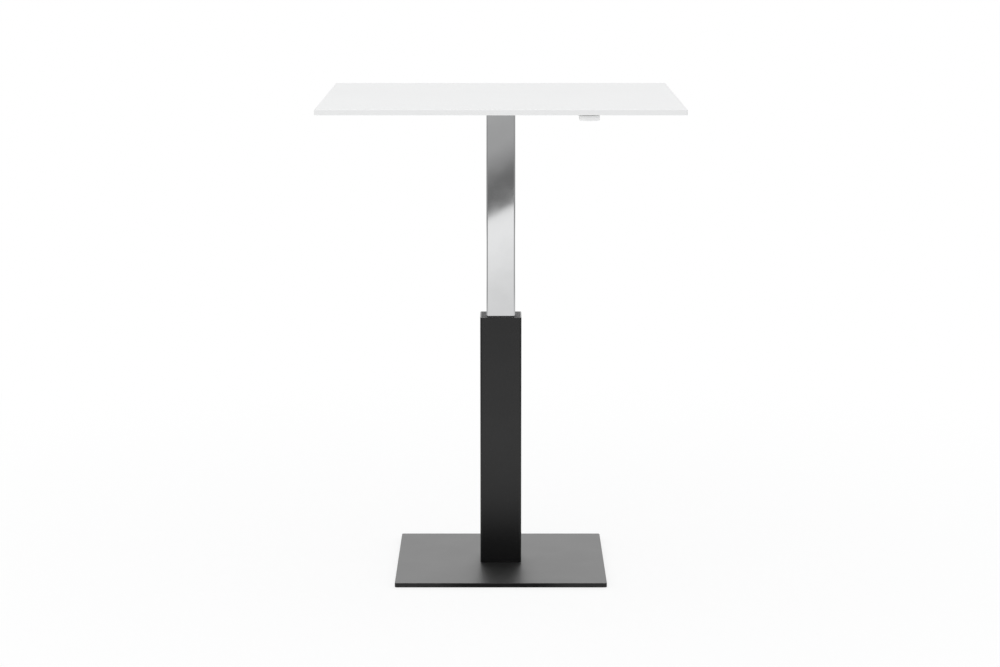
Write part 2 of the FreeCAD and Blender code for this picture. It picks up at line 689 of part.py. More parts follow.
def cable_wire_rear():
    barrel = rod(BARREL_D / 2, vec(-ROCKER_BLADE / 2, ROCKER_ARM, CABLE_Z), X, ROCKER_BLADE)
    wire = rod(WIRE_D / 2, vec(0, ROCKER_ARM, CABLE_Z), -Y, ROCKER_ARM - SHEATH_REAR + WIRE_ENGAGED)
    return barrel.fuse(wire)


def cable_adjuster():
    inner_end = COLUMN_FACE + UPPER_WALL + ADJUSTER_INSIDE
    mouth = vec(0, ADJUSTER_MOUTH, CABLE_Z)
    stem = rod(ADJUSTER_D / 2, vec(0, ADJUSTER_END, CABLE_Z), Y, inner_end - ADJUSTER_END)
    body = rod(ADJUSTER_HEAD_D / 2, mouth, Y, ADJUSTER_HEAD_L).fuse(stem)
    body = body.cut(rod(SHEATH_D / 2 + FIT, mouth, Y, SHEATH_SEAT))
    return body.cut(rod(WIRE_D / 2 + SLIDE_FIT, mouth, Y, inner_end - ADJUSTER_MOUTH))


def adjuster_nuts():
    bore = ADJUSTER_D + 2 * FIT
    outside = nut(ADJUSTER_NUT_AF, bore, vec(0, COLUMN_FACE, CABLE_Z), -Y, ADJUSTER_NUT_H)
    inside = nut(ADJUSTER_NUT_AF, bore, vec(0, COLUMN_FACE + UPPER_WALL, CABLE_Z), Y, ADJUSTER_NUT_H)
    return group([outside, inside])


def bend_site(y):
    """Point of the two bends at a place front to back, and the turn of the cable there, in degrees."""
    radius = bend_numbers()[0]
    if y <= (BEND_FRONT + BEND_REAR) / 2:
        turn = math.asin((y - BEND_FRONT) / radius)
        return bend_point(turn), math.degrees(turn)
    turn = math.asin((BEND_REAR - y) / radius)
    return vec(LEVER_X - bend_point(turn).x, y, CABLE_Z), math.degrees(turn)


def clip_sites():
    """Centre of each cable clip under the top and the turn of the cable there, in degrees."""
    on_run = vec(LEVER_X, BLOCK_BACK + CLIP_ON_RUN, CABLE_Z)
    return [(on_run, 0.0), bend_site(-PLATE_SIDE / 2 - CLIP_TO_PLATE)]


def clip_screw_points():
    points = []
    for centre, turn in clip_sites():
        angle = math.radians(turn)
        across = vec(math.cos(angle), math.sin(angle), 0) * (CLIP_SCREW_SPREAD / 2)
        points.append((centre.x + across.x, centre.y + across.y))
        points.append((centre.x - across.x, centre.y - across.y))
    return points


def cable_clips():
    clips = []
    ring_r = SHEATH_D / 2 + FIT + CLIP_WALL
    y = CLIP_LENGTH / 2
    for centre, turn in clip_sites():
        foot = prism(CLIP_FOOT_W, CLIP_LENGTH, CLIP_WALL, UNDERSIDE - CLIP_FOOT_T, UNDERSIDE)
        for side in (-1, 1):
            start = vec(side * CLIP_SCREW_SPREAD / 2, 0, UNDERSIDE - CLIP_FOOT_T)
            foot = foot.cut(sink(SMALL_SCREW_D, FIT, CLIP_FOOT_T, start, Z))
        post = block(-ring_r, ring_r, -y, y, CABLE_Z, UNDERSIDE - CLIP_FOOT_T)
        clip = foot.fuse([post, rod(ring_r, vec(0, -y, CABLE_Z), Y, CLIP_LENGTH)]).removeSplitter()
        clip.Placement = FreeCAD.Placement(vec(centre.x, centre.y, 0), FreeCAD.Rotation(Z, turn))
        clips.append(clip)
    route = cable_route(SHEATH_FRONT, SHEATH_REAR)
    ring = Part.Wire(Part.makeCircle(SHEATH_D / 2 + FIT, vec(LEVER_X, SHEATH_FRONT, CABLE_Z), Y))
    room = route.makePipeShell([ring], True, False)
    return group([clip.cut(room) for clip in clips])


def small_screws(points, z):
    """Screws that hold a piece under the top, with their heads at a level."""
    screws = []
    for x, y in points:
        screws.append(countersunk(SMALL_SCREW_D, SMALL_SCREW_L, vec(x, y, z), Z, SMALL_SCREW_SOCKET))
    return group(screws)


def clip_screws():
    return small_screws(clip_screw_points(), UNDERSIDE - CLIP_FOOT_T)


# Release paddle and its housing

def housing_ends():
    """Front and back of the housing."""
    return PIVOT_Y - HOUSING_CHEEK_FRONT, BLOCK_BACK


def housing_screw_points():
    front, back = housing_ends()
    x = HOUSING_WIDTH / 2 - SMALL_SCREW_EDGE
    rows = (front + SMALL_SCREW_EDGE, back - SMALL_SCREW_EDGE)
    return [(LEVER_X + side * x, y) for side in (-1, 1) for y in rows]


def lever_housing():
    front, back = housing_ends()
    z = UNDERSIDE - HOUSING_FLANGE
    flange = prism(HOUSING_WIDTH, back - front, HOUSING_CORNER_R, z, UNDERSIDE)
    flange = flange.makeChamfer(HOUSING_EDGE, edges_at(flange, z))
    flange.translate(vec(LEVER_X, (front + back) / 2, 0))
    hub = HUB_WIDTH / 2 + SLIDE_FIT
    outer = hub + HOUSING_CHEEK
    cheek_end = PIVOT_Y + HOUSING_CHEEK_BACK
    parts = []
    for side in (-1, 1):
        x0, x1 = sorted((LEVER_X + side * hub, LEVER_X + side * outer))
        parts.append(block(x0, x1, front, cheek_end, PIVOT_Z, z))
        parts.append(rod(HOUSING_CHEEK_FRONT, vec(x0, PIVOT_Y, PIVOT_Z), X, HOUSING_CHEEK))
    half = HOUSING_BLOCK_W / 2
    low = CABLE_Z - SHEATH_D / 2 - CLIP_WALL
    parts.append(block(LEVER_X - half, LEVER_X + half, BLOCK_FRONT, back, CABLE_Z, z))
    parts.append(rod(CABLE_Z - low, vec(LEVER_X, BLOCK_FRONT, CABLE_Z), Y, back - BLOCK_FRONT))
    body = flange.fuse(parts).removeSplitter()
    body = body.cut(block(LEVER_X - hub, LEVER_X + hub, front, cheek_end, z, UNDERSIDE))
    body = body.cut(rod(LEVER_PIN_D / 2 + FIT, vec(LEVER_X - outer, PIVOT_Y, PIVOT_Z), X, 2 * outer))
    body = body.cut(rod(SHEATH_D / 2 + FIT, vec(LEVER_X, SHEATH_FRONT, CABLE_Z), Y, SHEATH_SEAT))
    body = body.cut(rod(WIRE_D / 2 + SLIDE_FIT, vec(LEVER_X, BLOCK_FRONT, CABLE_Z), Y, HOUSING_BLOCK_L))
    for x, y in housing_screw_points():
        body = body.cut(sink(SMALL_SCREW_D, FIT, HOUSING_FLANGE, vec(x, y, z), Z))
    return body


def housing_screws():
    return small_screws(housing_screw_points(), UNDERSIDE - HOUSING_FLANGE)


def lever_pin():
    half = HUB_WIDTH / 2 + SLIDE_FIT + HOUSING_CHEEK
    return rod(LEVER_PIN_D / 2, vec(LEVER_X - half, PIVOT_Y, PIVOT_Z), X, 2 * half)


def paddle_blade():
    """The finger plate: a side profile run across the width, with the corners of the lip rounded."""
    half = PADDLE_WIDTH / 2
    root = PIVOT_Y - PADDLE_ROOT
    top = UNDERSIDE - PADDLE_LIP_TOP
    low = UNDERSIDE - PADDLE_LIP_BOTTOM
    reach = PADDLE_REACH - PADDLE_ROOT
    lip_back = LIP_Y + reach / 4
    hollow = vec(0, LIP_Y + reach / 2, low + (top - low) * PADDLE_HOLLOW)
    start = vec(0, LIP_Y + PADDLE_NOSE, top)
    outline = [
        Part.LineSegment(vec(0, LIP_Y, top - PADDLE_NOSE), vec(0, LIP_Y, low + PADDLE_NOSE)).toShape(),
        Part.LineSegment(vec(0, LIP_Y, low + PADDLE_NOSE), vec(0, LIP_Y + PADDLE_NOSE, low)).toShape(),
        Part.LineSegment(vec(0, LIP_Y + PADDLE_NOSE, low), vec(0, lip_back, low)).toShape(),
        Part.Arc(vec(0, lip_back, low), hollow, vec(0, root, PIVOT_Z - HUB_D / 2)).toShape(),
        Part.LineSegment(vec(0, root, PIVOT_Z - HUB_D / 2), vec(0, root, PIVOT_Z + HUB_D / 4)).toShape(),
        Part.LineSegment(vec(0, root, PIVOT_Z + HUB_D / 4), start).toShape(),
        Part.LineSegment(start, vec(0, LIP_Y, top - PADDLE_NOSE)).toShape(),
    ]
    profile = Part.Face(Part.Wire(outline))
    profile.translate(vec(LEVER_X - half, 0, 0))
    blade = profile.extrude(vec(PADDLE_WIDTH, 0, 0))
    height = UNDERSIDE - low
    front = prism(PADDLE_WIDTH, 2 * height, PADDLE_CORNER_R, 0, PADDLE_REACH)
    front.Placement = FreeCAD.Placement(vec(LEVER_X, PIVOT_Y, UNDERSIDE), FreeCAD.Rotation(X, 90))
    plan = prism(PADDLE_WIDTH, 2 * reach, PADDLE_NOSE, low, UNDERSIDE)
    plan.translate(vec(LEVER_X, root, 0))
    return blade.common(front).common(plan)


def lever_paddle():
    half = HUB_WIDTH / 2
    hub_end = vec(LEVER_X - half, PIVOT_Y, PIVOT_Z)
    hub = rod(HUB_D / 2, hub_end, X, HUB_WIDTH)
    root = PIVOT_Y - PADDLE_ROOT
    neck = block(LEVER_X - half, LEVER_X + half, root, PIVOT_Y, PIVOT_Z - HUB_D / 2, PIVOT_Z + HUB_D / 4)
    horn = HORN_WIDTH / 2
    thick = HORN_THICKNESS / 2
    arm = block(LEVER_X - horn, LEVER_X + horn, PIVOT_Y - thick, PIVOT_Y + thick, CABLE_Z, PIVOT_Z)
    eye = rod(thick, vec(LEVER_X - horn, PIVOT_Y, CABLE_Z), X, HORN_WIDTH)
    body = paddle_blade().fuse([hub, neck, arm, eye]).removeSplitter()
    body = body.cut(rod(LEVER_PIN_D / 2 + RUNNING_FIT, hub_end, X, HUB_WIDTH))
    body = body.cut(rod(BARREL_D / 2 + SEAT_FIT, vec(LEVER_X - horn, PIVOT_Y, CABLE_Z), X, HORN_WIDTH))
    slot = WIRE_D / 2 + SEAT_FIT
    back = PIVOT_Y + 2 * thick
    mouth = block(LEVER_X - slot, LEVER_X + slot, PIVOT_Y, back, CABLE_Z - 2 * thick, CABLE_Z + thick / 2)
    return body.cut(mouth)


NODES = [
    base_plate, base_glides, lower_column, column_foot, foot_bolts, guide_collar,
    gas_cylinder, cylinder_washer, cylinder_nut, cylinder_gland, rod_wiper,
    table_top, top_inserts, top_plate, top_screws, upper_column, lower_guide, guide_screws,
    rod_hanger, hanger_screws, piston_rod, rod_nut, piston, piston_seal, piston_nut,
    rocker_pin, rocker_rings, cable_adjuster, adjuster_nuts, cable_sheath, cable_clips, clip_screws,
    lever_housing, housing_screws, lever_pin,
    lever_paddle, release_rocker, valve_pin, cable_wire_front, cable_wire_rear,
]

os.makedirs("parts", exist_ok=True)
for make in NODES:
    make().exportStep("parts/" + make.__name__ + ".step")
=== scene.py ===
"""Telescoping pedestal table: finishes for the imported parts, pieces added in mesh, studio and camera.

Lengths are in metres and angles in degrees.
"""

import json
import logging
import math
from dataclasses import dataclass
from enum import Enum
from typing import Any, Callable, Iterable, Optional

import bmesh
import bpy
from mathutils import Matrix, Vector

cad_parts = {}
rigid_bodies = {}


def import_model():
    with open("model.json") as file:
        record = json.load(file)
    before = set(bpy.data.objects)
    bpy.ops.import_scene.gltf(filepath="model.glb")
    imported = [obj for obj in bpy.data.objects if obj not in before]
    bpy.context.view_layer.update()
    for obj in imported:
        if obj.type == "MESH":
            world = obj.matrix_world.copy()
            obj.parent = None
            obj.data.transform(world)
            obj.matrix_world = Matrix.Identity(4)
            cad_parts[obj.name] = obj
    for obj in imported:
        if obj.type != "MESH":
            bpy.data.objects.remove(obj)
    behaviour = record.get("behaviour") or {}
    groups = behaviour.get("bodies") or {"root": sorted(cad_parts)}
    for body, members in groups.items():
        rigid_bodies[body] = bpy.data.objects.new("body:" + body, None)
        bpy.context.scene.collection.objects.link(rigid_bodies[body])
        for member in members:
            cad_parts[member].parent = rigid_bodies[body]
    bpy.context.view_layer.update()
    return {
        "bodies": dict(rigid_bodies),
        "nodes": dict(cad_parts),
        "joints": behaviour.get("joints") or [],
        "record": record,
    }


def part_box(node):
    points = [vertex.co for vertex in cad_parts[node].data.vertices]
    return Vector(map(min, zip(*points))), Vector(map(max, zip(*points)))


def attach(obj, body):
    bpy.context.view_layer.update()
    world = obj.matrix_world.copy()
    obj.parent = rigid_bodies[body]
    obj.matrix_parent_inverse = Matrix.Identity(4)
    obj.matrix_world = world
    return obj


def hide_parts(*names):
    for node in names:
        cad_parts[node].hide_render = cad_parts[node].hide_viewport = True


LOG = logging.getLogger("pedestal_table")
Pair = tuple[float, float]
Triple = tuple[float, float, float]
Stops = tuple[Pair, ...]
Socket = bpy.types.NodeSocket

# Sockets of a Mix node that mixes colours
MIX_FACTOR = 0
MIX_LOW = 6
MIX_HIGH = 7
MIX_RESULT = 2

# Points closer than the first are merged, and levels closer than the second are the same
MERGE_DISTANCE = 1e-7
SAME_LEVEL = 1e-6

# A face whose normal reaches this far along an axis faces that way
FACING = 0.9

# Profile of a bevel that is a round arc
ROUND_PROFILE = 0.5


class Slot(str, Enum):
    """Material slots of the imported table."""

    WHITE_PLASTIC = "white_plastic"
    CHROME = "chrome"
    PLATED_STEEL = "plated_steel"


class Body(str, Enum):
    """Rigid bodies that added pieces ride on."""

    UPPER = "upper"
    LEVER = "lever"


class Axis(str, Enum):
    """Axes of the row frame."""

    X = "X"
    Y = "Y"
    Z = "Z"

    @property
    def place(self) -> int:
        """Place of this axis in a vector."""
        return "XYZ".index(self.value)

    @property
    def unit(self) -> Vector:
        """Unit vector along this axis."""
        return Vector([float(axis is self) for axis in Axis])


class Across(str, Enum):
    """Ways that bands of a wave can lie."""

    Z = "Z"
    DIAGONAL = "DIAGONAL"


@dataclass(frozen=True)
class Grain:
    """Noise of so many cells a metre, with octaves of finer noise and a scale along each axis."""

    cells: float
    octaves: float = 2.0
    stretch: Triple = (1.0, 1.0, 1.0)


@dataclass(frozen=True)
class Bands:
    """Bands of a wave: how many a metre, as the wave texture counts them, which way, and how far bent."""

    count: float
    across: Across
    bend: float


# A relief is a row of textures, each with the height of its full step
Texture = Grain | Bands
Relief = tuple[tuple[Texture, float], ...]


class Nodes:
    """A node tree that is being filled."""

    def __init__(self, tree: bpy.types.NodeTree) -> None:
        """Start from an empty tree.

        Args:
            tree: The tree of a material or a world.
        """
        self.tree = tree
        tree.nodes.clear()

    def add(self, kind: str, **fields: Any) -> bpy.types.Node:
        """Add a node and set its own fields.

        Args:
            kind: Node type.
            fields: Properties of the node.

        Returns:
            The new node.
        """
        node = self.tree.nodes.new(kind)
        for key, value in fields.items():
            setattr(node, key, value)
        return node

    def link(self, source: Socket, target: Socket) -> None:
        """Join two sockets."""
        self.tree.links.new(source, target)

    def feed(self, socket: Socket, value: Any) -> None:
        """Link a socket, or set its plain value.

        Args:
            socket: The input socket.
            value: Another socket, or a number or colour.
        """
        if isinstance(value, bpy.types.NodeSocket):
            self.link(value, socket)
        else:
            socket.default_value = value

    def level(self, value: Socket, low: float, high: float, start: float = 0.3, end: float = 0.7) -> Socket:
        """Spread a factor over a range of numbers.

        Args:
            value: The factor.
            low: Result at the start.
            high: Result at the end.
            start: Factor that gives low.
            end: Factor that gives high.

        Returns:
            The value socket.
        """
        node = self.add("ShaderNodeMapRange", clamp=True, interpolation_type="SMOOTHSTEP")
        for name, number in (("From Min", start), ("From Max", end), ("To Min", low), ("To Max", high)):
            node.inputs[name].default_value = number
        self.link(value, node.inputs["Value"])
        return node.outputs["Result"]

    def steps(self, value: Socket, stops: Stops) -> Socket:
        """Grey levels along a value.

        Args:
            value: The value.
            stops: Pairs of a value and its grey, in order.

        Returns:
            The colour socket.
        """
        first, last = stops[0][0], stops[-1][0]
        spread = self.add("ShaderNodeMapRange", clamp=True)
        spread.inputs["From Min"].default_value = first
        spread.inputs["From Max"].default_value = last
        self.link(value, spread.inputs["Value"])
        ramp = self.add("ShaderNodeValToRGB")
        elements = ramp.color_ramp.elements
        for place, _ in stops[1:-1]:
            elements.new((place - first) / (last - first))
        for element, (_, grey) in zip(elements, stops):
            element.color = (grey, grey, grey, 1.0)
        self.link(spread.outputs["Result"], ramp.inputs["Fac"])
        return ramp.outputs["Color"]

    def math(self, operation: str, first: Any, second: Any = 0.0) -> Socket:
        """Arithmetic on two values.

        Args:
            operation: Name of the operation.
            first: Socket or number.
            second: Socket or number.

        Returns:
            The value socket.
        """
        node = self.add("ShaderNodeMath", operation=operation)
        self.feed(node.inputs[0], first)
        self.feed(node.inputs[1], second)
        return node.outputs["Value"]

    def tint(self, factor: Socket, low: Any, high: Any) -> Socket:
        """Mix two colours.

        Args:
            factor: 0 for low, 1 for high.
            low: Colour or socket.
            high: Colour or socket.

        Returns:
            The colour socket.
        """
        node = self.add("ShaderNodeMix", data_type="RGBA")
        self.link(factor, node.inputs[MIX_FACTOR])
        self.feed(node.inputs[MIX_LOW], paint(low))
        self.feed(node.inputs[MIX_HIGH], paint(high))
        return node.outputs[MIX_RESULT]

    def rays(self) -> tuple[Socket, Socket]:
        """Tell rays apart.

        Returns:
            A socket that is 1 on rays from the camera, and one that is 1 on rays from a mirror or glass.
        """
        path = self.add("ShaderNodeLightPath")
        mirrored = self.math("MAXIMUM", path.outputs["Is Glossy Ray"], path.outputs["Is Transmission Ray"])
        return path.outputs["Is Camera Ray"], mirrored


class Board(Nodes):
    """The nodes of one material, from Object coordinates to a principled shader."""

    def __init__(self, name: str) -> None:
        """Start a material with a shader and an output.

        Args:
            name: Name of the material.
        """
        self.material = bpy.data.materials.new(name)
        self.material.use_nodes = True
        super().__init__(self.material.node_tree)
        self.output = self.add("ShaderNodeOutputMaterial")
        self.shader = self.add("ShaderNodeBsdfPrincipled")
        self.link(self.shader.outputs["BSDF"], self.output.inputs["Surface"])
        self.coords: Socket = self.add("ShaderNodeTexCoord").outputs["Object"]
        self.laid: dict[Texture, Socket] = {}

    def factor(self, texture: Texture) -> Socket:
        """Lay a texture, the first time it is asked for.

        Args:
            texture: A noise or bands.

        Returns:
            The factor socket, about 0.5 on average.
        """
        if texture not in self.laid:
            self.laid[texture] = self.noise(texture) if isinstance(texture, Grain) else self.wave(texture)
        return self.laid[texture]

    def noise(self, grain: Grain) -> Socket:
        """Noise on Object coordinates.

        Args:
            grain: Its cells, octaves and stretch.

        Returns:
            The factor socket.
        """
        mapping = self.add("ShaderNodeMapping")
        mapping.inputs["Scale"].default_value = grain.stretch
        self.link(self.coords, mapping.inputs["Vector"])
        node = self.add("ShaderNodeTexNoise")
        node.inputs["Scale"].default_value = grain.cells
        node.inputs["Detail"].default_value = grain.octaves
        self.link(mapping.outputs["Vector"], node.inputs["Vector"])
        return node.outputs["Fac"]

    def wave(self, bands: Bands) -> Socket:
        """Bands on Object coordinates.

        Args:
            bands: Their count, direction and bend.

        Returns:
            The factor socket.
        """
        node = self.add("ShaderNodeTexWave", bands_direction=bands.across.value)
        node.inputs["Scale"].default_value = bands.count
        node.inputs["Distortion"].default_value = bands.bend
        self.link(self.coords, node.inputs["Vector"])
        return node.outputs["Fac"]

    def axis(self, axis: Axis) -> Socket:
        """One Object coordinate.

        Args:
            axis: The axis.

        Returns:
            The value socket, in metres.
        """
        node = self.add("ShaderNodeSeparateXYZ")
        self.link(self.coords, node.inputs["Vector"])
        return node.outputs[axis.value]

    def cloudy(self, texture: Texture, low: Triple, high: Triple) -> Socket:
        """Colour that wanders between two with a texture."""
        return self.tint(self.level(self.factor(texture), 0.0, 1.0), low, high)

    def bump(self, height: Socket, distance: float, under: Optional[Socket] = None) -> Socket:
        """Relief from a factor.

        Args:
            height: The factor.
            distance: Height of a full step.
            under: Normal of a relief beneath this one.

        Returns:
            The normal socket.
        """
        node = self.add("ShaderNodeBump")
        node.inputs["Strength"].default_value = 1.0
        node.inputs["Distance"].default_value = distance
        self.link(height, node.inputs["Height"])
        if under is not None:
            self.link(under, node.inputs["Normal"])
        return node.outputs["Normal"]

    def fill(self, **inputs: Any) -> None:
        """Feed the shader.

        Args:
            inputs: Shader inputs by name, with underscores for spaces.
        """
        for key, value in inputs.items():
            self.feed(self.shader.inputs[key.replace("_", " ")], value)


def paint(colour: Any) -> Any:
    """Add alpha to a colour of three numbers.

    Args:
        colour: Three numbers, or anything else, which is left alone.

    Returns:
        Four numbers, or the argument.
    """
    if isinstance(colour, tuple) and len(colour) == 3:
        return (*colour, 1.0)
    return colour


@dataclass(frozen=True)
class Finish:
    """A finish whose colour and gloss follow textures, over a relief in layers, the lowest first."""

    name: str
    low: Triple
    high: Triple
    gloss: Pair
    tone: Texture
    sheen: Texture
    relief: Relief
    metallic: float = 0.0
    index: float = 1.5
    lacquer: float = 0.0
    lacquer_gloss: float = 0.46

    def colour(self, board: Board) -> Socket:
        """Colour of the finish."""
        return board.cloudy(self.tone, self.low, self.high)

    def ground(self, board: Board) -> Optional[Socket]:
        """Normal that the relief lies on, where it isn't the surface's own."""
        return None

    def material(self) -> bpy.types.Material:
        """Build the material.

        Returns:
            The material.
        """
        board = Board(self.name)
        normal = self.ground(board)
        for texture, depth in self.relief:
            normal = board.bump(board.factor(texture), depth, normal)
        if self.lacquer:
            board.fill(Coat_Weight=self.lacquer, Coat_Roughness=self.lacquer_gloss, Coat_Normal=normal)
        board.fill(
            Base_Color=self.colour(board),
            Metallic=self.metallic,
            Roughness=board.level(board.factor(self.sheen), *self.gloss),
            Normal=normal,
            IOR=self.index,
        )
        return board.material


@dataclass(frozen=True)
class LaminateFinish(Finish):
    """White compact board: pearl-grained faces, a greyer core, and painted shade on the cut edge."""

    name: str = "white_laminate_board"
    low: Triple = (0.895, 0.896, 0.894)
    high: Triple = (0.905, 0.906, 0.903)
    gloss: Pair = (0.4, 0.44)
    tone: Texture = Grain(5.0, 3.0)
    sheen: Texture = Grain(38.0, 4.0)
    relief: Relief = ((Grain(2600.0, 1.0), 0.000006),)
    index: float = 1.4
    # the core colours, a little greyer than the skins, are darkened further as painted shade on the cut
    # edge
    shaded_core_low: Triple = (0.768, 0.769, 0.767)
    shaded_core_high: Triple = (0.79, 0.791, 0.789)
    core_tone: Texture = Grain(900.0, 2.0, (1.0, 1.0, 6.0))
    skin: float = 0.0009
    skin_edge: float = 0.00063

    def colour(self, board: Board) -> Socket:
        """Colour of the two skins, and of the core between them, with painted shade on the cut edge.

        Args:
            board: The material's nodes.

        Returns:
            The colour socket.
        """
        low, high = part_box("table_top")
        half = (high.z - low.z) / 2
        offset = board.math("ABSOLUTE", board.math("SUBTRACT", board.axis(Axis.Z), low.z + half))
        inside = board.level(offset, 1.0, 0.0, half - self.skin, half - self.skin_edge)
        # painted shade: the cut edge between the skins takes the darker core colour
        shaded_core = board.cloudy(self.core_tone, self.shaded_core_low, self.shaded_core_high)
        return board.tint(inside, super().colour(board), shaded_core)


@dataclass(frozen=True)
class PowderCoatFinish(Finish):
    """Black powder coat: a satin skin with a fine orange peel and faint rub marks."""

    name: str = "black_powder_coat"
    low: Triple = (0.0008, 0.0008, 0.0009)
    high: Triple = (0.0016, 0.0016, 0.0017)
    gloss: Pair = (0.24, 0.27)
    tone: Texture = Grain(260.0, 3.0)
    sheen: Texture = Grain(9.0, 5.0)
    relief: Relief = ((Grain(1150.0), 0.000007), (Grain(4200.0, 1.0), 0.0000012))
    index: float = 1.56


@dataclass(frozen=True)
class MouldedFinish(Finish):
    """Moulded plastic or rubber with a spark-eroded grain."""

    tone: Texture = Grain(55.0, 3.0)
    sheen: Texture = Grain(130.0, 3.0)
    relief: Relief = ((Grain(1700.0), 0.000012),)


@dataclass(frozen=True)
class MetalFinish(Finish):
    """Bare or plated metal."""

    metallic: float = 1.0


@dataclass(frozen=True)
class ChromeFinish(MetalFinish):
    """Bright chrome over drawn tube: polished, with the tube's twist, waves and faint lines under it."""

    name: str = "bright_chrome"
    low: Triple = (0.785, 0.79, 0.795)
    high: Triple = (0.815, 0.82, 0.825)
    gloss: Pair = (0.03, 0.05)
    tone: Texture = Grain(26.0, 4.0)
    sheen: Texture = tone
    relief: Relief = (
        (Grain(5.5, 1.0, (1.0, 1.0, 0.55)), 0.00004),
        (Grain(700.0, 2.0, (1.0, 1.0, 0.012)), 0.0000005),
    )
    twist: float = 0.075
    twist_from: float = 0.8

    def ground(self, board: Board) -> Socket:
        """Normal of the twisted tube."""
        height = board.math("SUBTRACT", board.axis(Axis.Z), self.twist_from)
        return board.bump(board.math("MULTIPLY", board.axis(Axis.X), height), self.twist)


@dataclass(frozen=True)
class SatinPlateFinish(MetalFinish):
    """Satin chrome on flat plate: brushed one way and left dull."""

    name: str = "satin_chrome_plate"
    low: Triple = (0.56, 0.565, 0.57)
    high: Triple = (0.64, 0.645, 0.65)
    gloss: Pair = (0.34, 0.4)
    tone: Texture = Grain(1500.0, 3.0, (0.02, 1.0, 1.0))
    sheen: Texture = Grain(12.0, 4.0)
    relief: Relief = ((tone, 0.000003),)


@dataclass(frozen=True)
class PlatedSteelFinish(MetalFinish):
    """Zinc-plated steel: a cool grey with cloudy passivation and fine working marks."""

    name: str = "zinc_plated_steel"
    low: Triple = (0.5, 0.51, 0.53)
    high: Triple = (0.68, 0.685, 0.68)
    gloss: Pair = (0.24, 0.4)
    tone: Texture = Grain(170.0, 4.0)
    sheen: Texture = Grain(2400.0, 3.0)
    relief: Relief = ((sheen, 0.000004),)


@dataclass(frozen=True)
class DrawnSteelFinish(PlatedSteelFinish):
    """Drawn steel: darker than the plated, with its marks drawn out along X."""

    name: str = "drawn_steel"
    low: Triple = (0.42, 0.42, 0.43)
    high: Triple = (0.55, 0.55, 0.55)
    sheen: Texture = Grain(2400.0, 3.0, (0.04, 1.0, 1.0))
    relief: Relief = ((sheen, 0.000004),)


@dataclass(frozen=True)
class GroundRodFinish(MetalFinish):
    """Hard-chromed ground rod: bright, with fine rings from the grinding wheel."""

    name: str = "ground_rod"
    low: Triple = (0.66, 0.665, 0.67)
    high: Triple = (0.76, 0.765, 0.77)
    gloss: Pair = (0.1, 0.18)
    tone: Texture = Grain(3000.0, 2.0, (0.02, 0.02, 1.0))
    sheen: Texture = tone
    relief: Relief = ((tone, 0.0000015),)


@dataclass(frozen=True)
class TurnedMetalFinish(MetalFinish):
    """Turned alloy or brass with tool rings along its axis."""

    gloss: Pair = (0.24, 0.38)
    tone: Texture = Grain(240.0, 4.0)
    sheen: Texture = tone
    relief: Relief = ((Bands(900.0, Across.Z, 0.6), 0.000008),)


@dataclass(frozen=True)
class WeldFinish(MetalFinish):
    """Plated weld bead with the ripples of its passes, and spatter on them."""

    name: str = "plated_weld"
    low: Triple = (0.42, 0.425, 0.43)
    high: Triple = (0.58, 0.585, 0.59)
    gloss: Pair = (0.32, 0.48)
    tone: Texture = Grain(500.0, 3.0)
    sheen: Texture = tone
    relief: Relief = ((Bands(170.0, Across.DIAGONAL, 1.4), 0.00013), (tone, 0.00003))


@dataclass(frozen=True)
class StrandFinish(MetalFinish):
    """Stranded steel wire: bright wires laid in a twist."""

    name: str = "stranded_wire"
    low: Triple = (0.48, 0.48, 0.49)
    high: Triple = (0.62, 0.62, 0.62)
    gloss: Pair = (0.25, 0.4)
    tone: Texture = Bands(420.0, Across.DIAGONAL, 0.2)
    sheen: Texture = Grain(900.0)
    relief: Relief = ((tone, 0.00005),)


class Finishes:
    """Every finish of the table, built once."""

    def __init__(self) -> None:
        """Build the materials."""
        self.laminate = LaminateFinish().material()
        self.coat = PowderCoatFinish().material()
        self.plate_coat = PowderCoatFinish("black_plate_coat", gloss=(0.44, 0.47), lacquer=1.0).material()
        self.tube_paint = PowderCoatFinish(
            "black_tube_paint", (0.012, 0.012, 0.012), (0.02, 0.02, 0.02), (0.2, 0.3)
        ).material()
        self.chrome = ChromeFinish().material()
        self.satin = SatinPlateFinish().material()
        self.plated = PlatedSteelFinish().material()
        self.drawn = DrawnSteelFinish().material()
        self.rod = GroundRodFinish().material()
        self.white = MouldedFinish(
            "white_moulding", (0.86, 0.86, 0.855), (0.89, 0.89, 0.885), (0.36, 0.46)
        ).material()
        self.black = MouldedFinish(
            "black_moulding", (0.018, 0.018, 0.019), (0.026, 0.026, 0.027), (0.45, 0.57)
        ).material()
        self.vinyl = MouldedFinish(
            "black_vinyl",
            (0.014, 0.014, 0.015),
            (0.022, 0.022, 0.023),
            (0.3, 0.42),
            relief=((Grain(900.0), 0.000006),),
        ).material()
        self.rubber = MouldedFinish(
            "black_rubber",
            (0.012, 0.012, 0.012),
            (0.022, 0.022, 0.021),
            (0.62, 0.8),
            relief=((Grain(1200.0), 0.00002),),
        ).material()
        self.alloy = TurnedMetalFinish("turned_alloy", (0.62, 0.62, 0.63), (0.74, 0.74, 0.75)).material()
        self.brass = TurnedMetalFinish("turned_brass", (0.62, 0.45, 0.2), (0.76, 0.58, 0.29)).material()
        self.weld = WeldFinish().material()
        self.strand = StrandFinish().material()


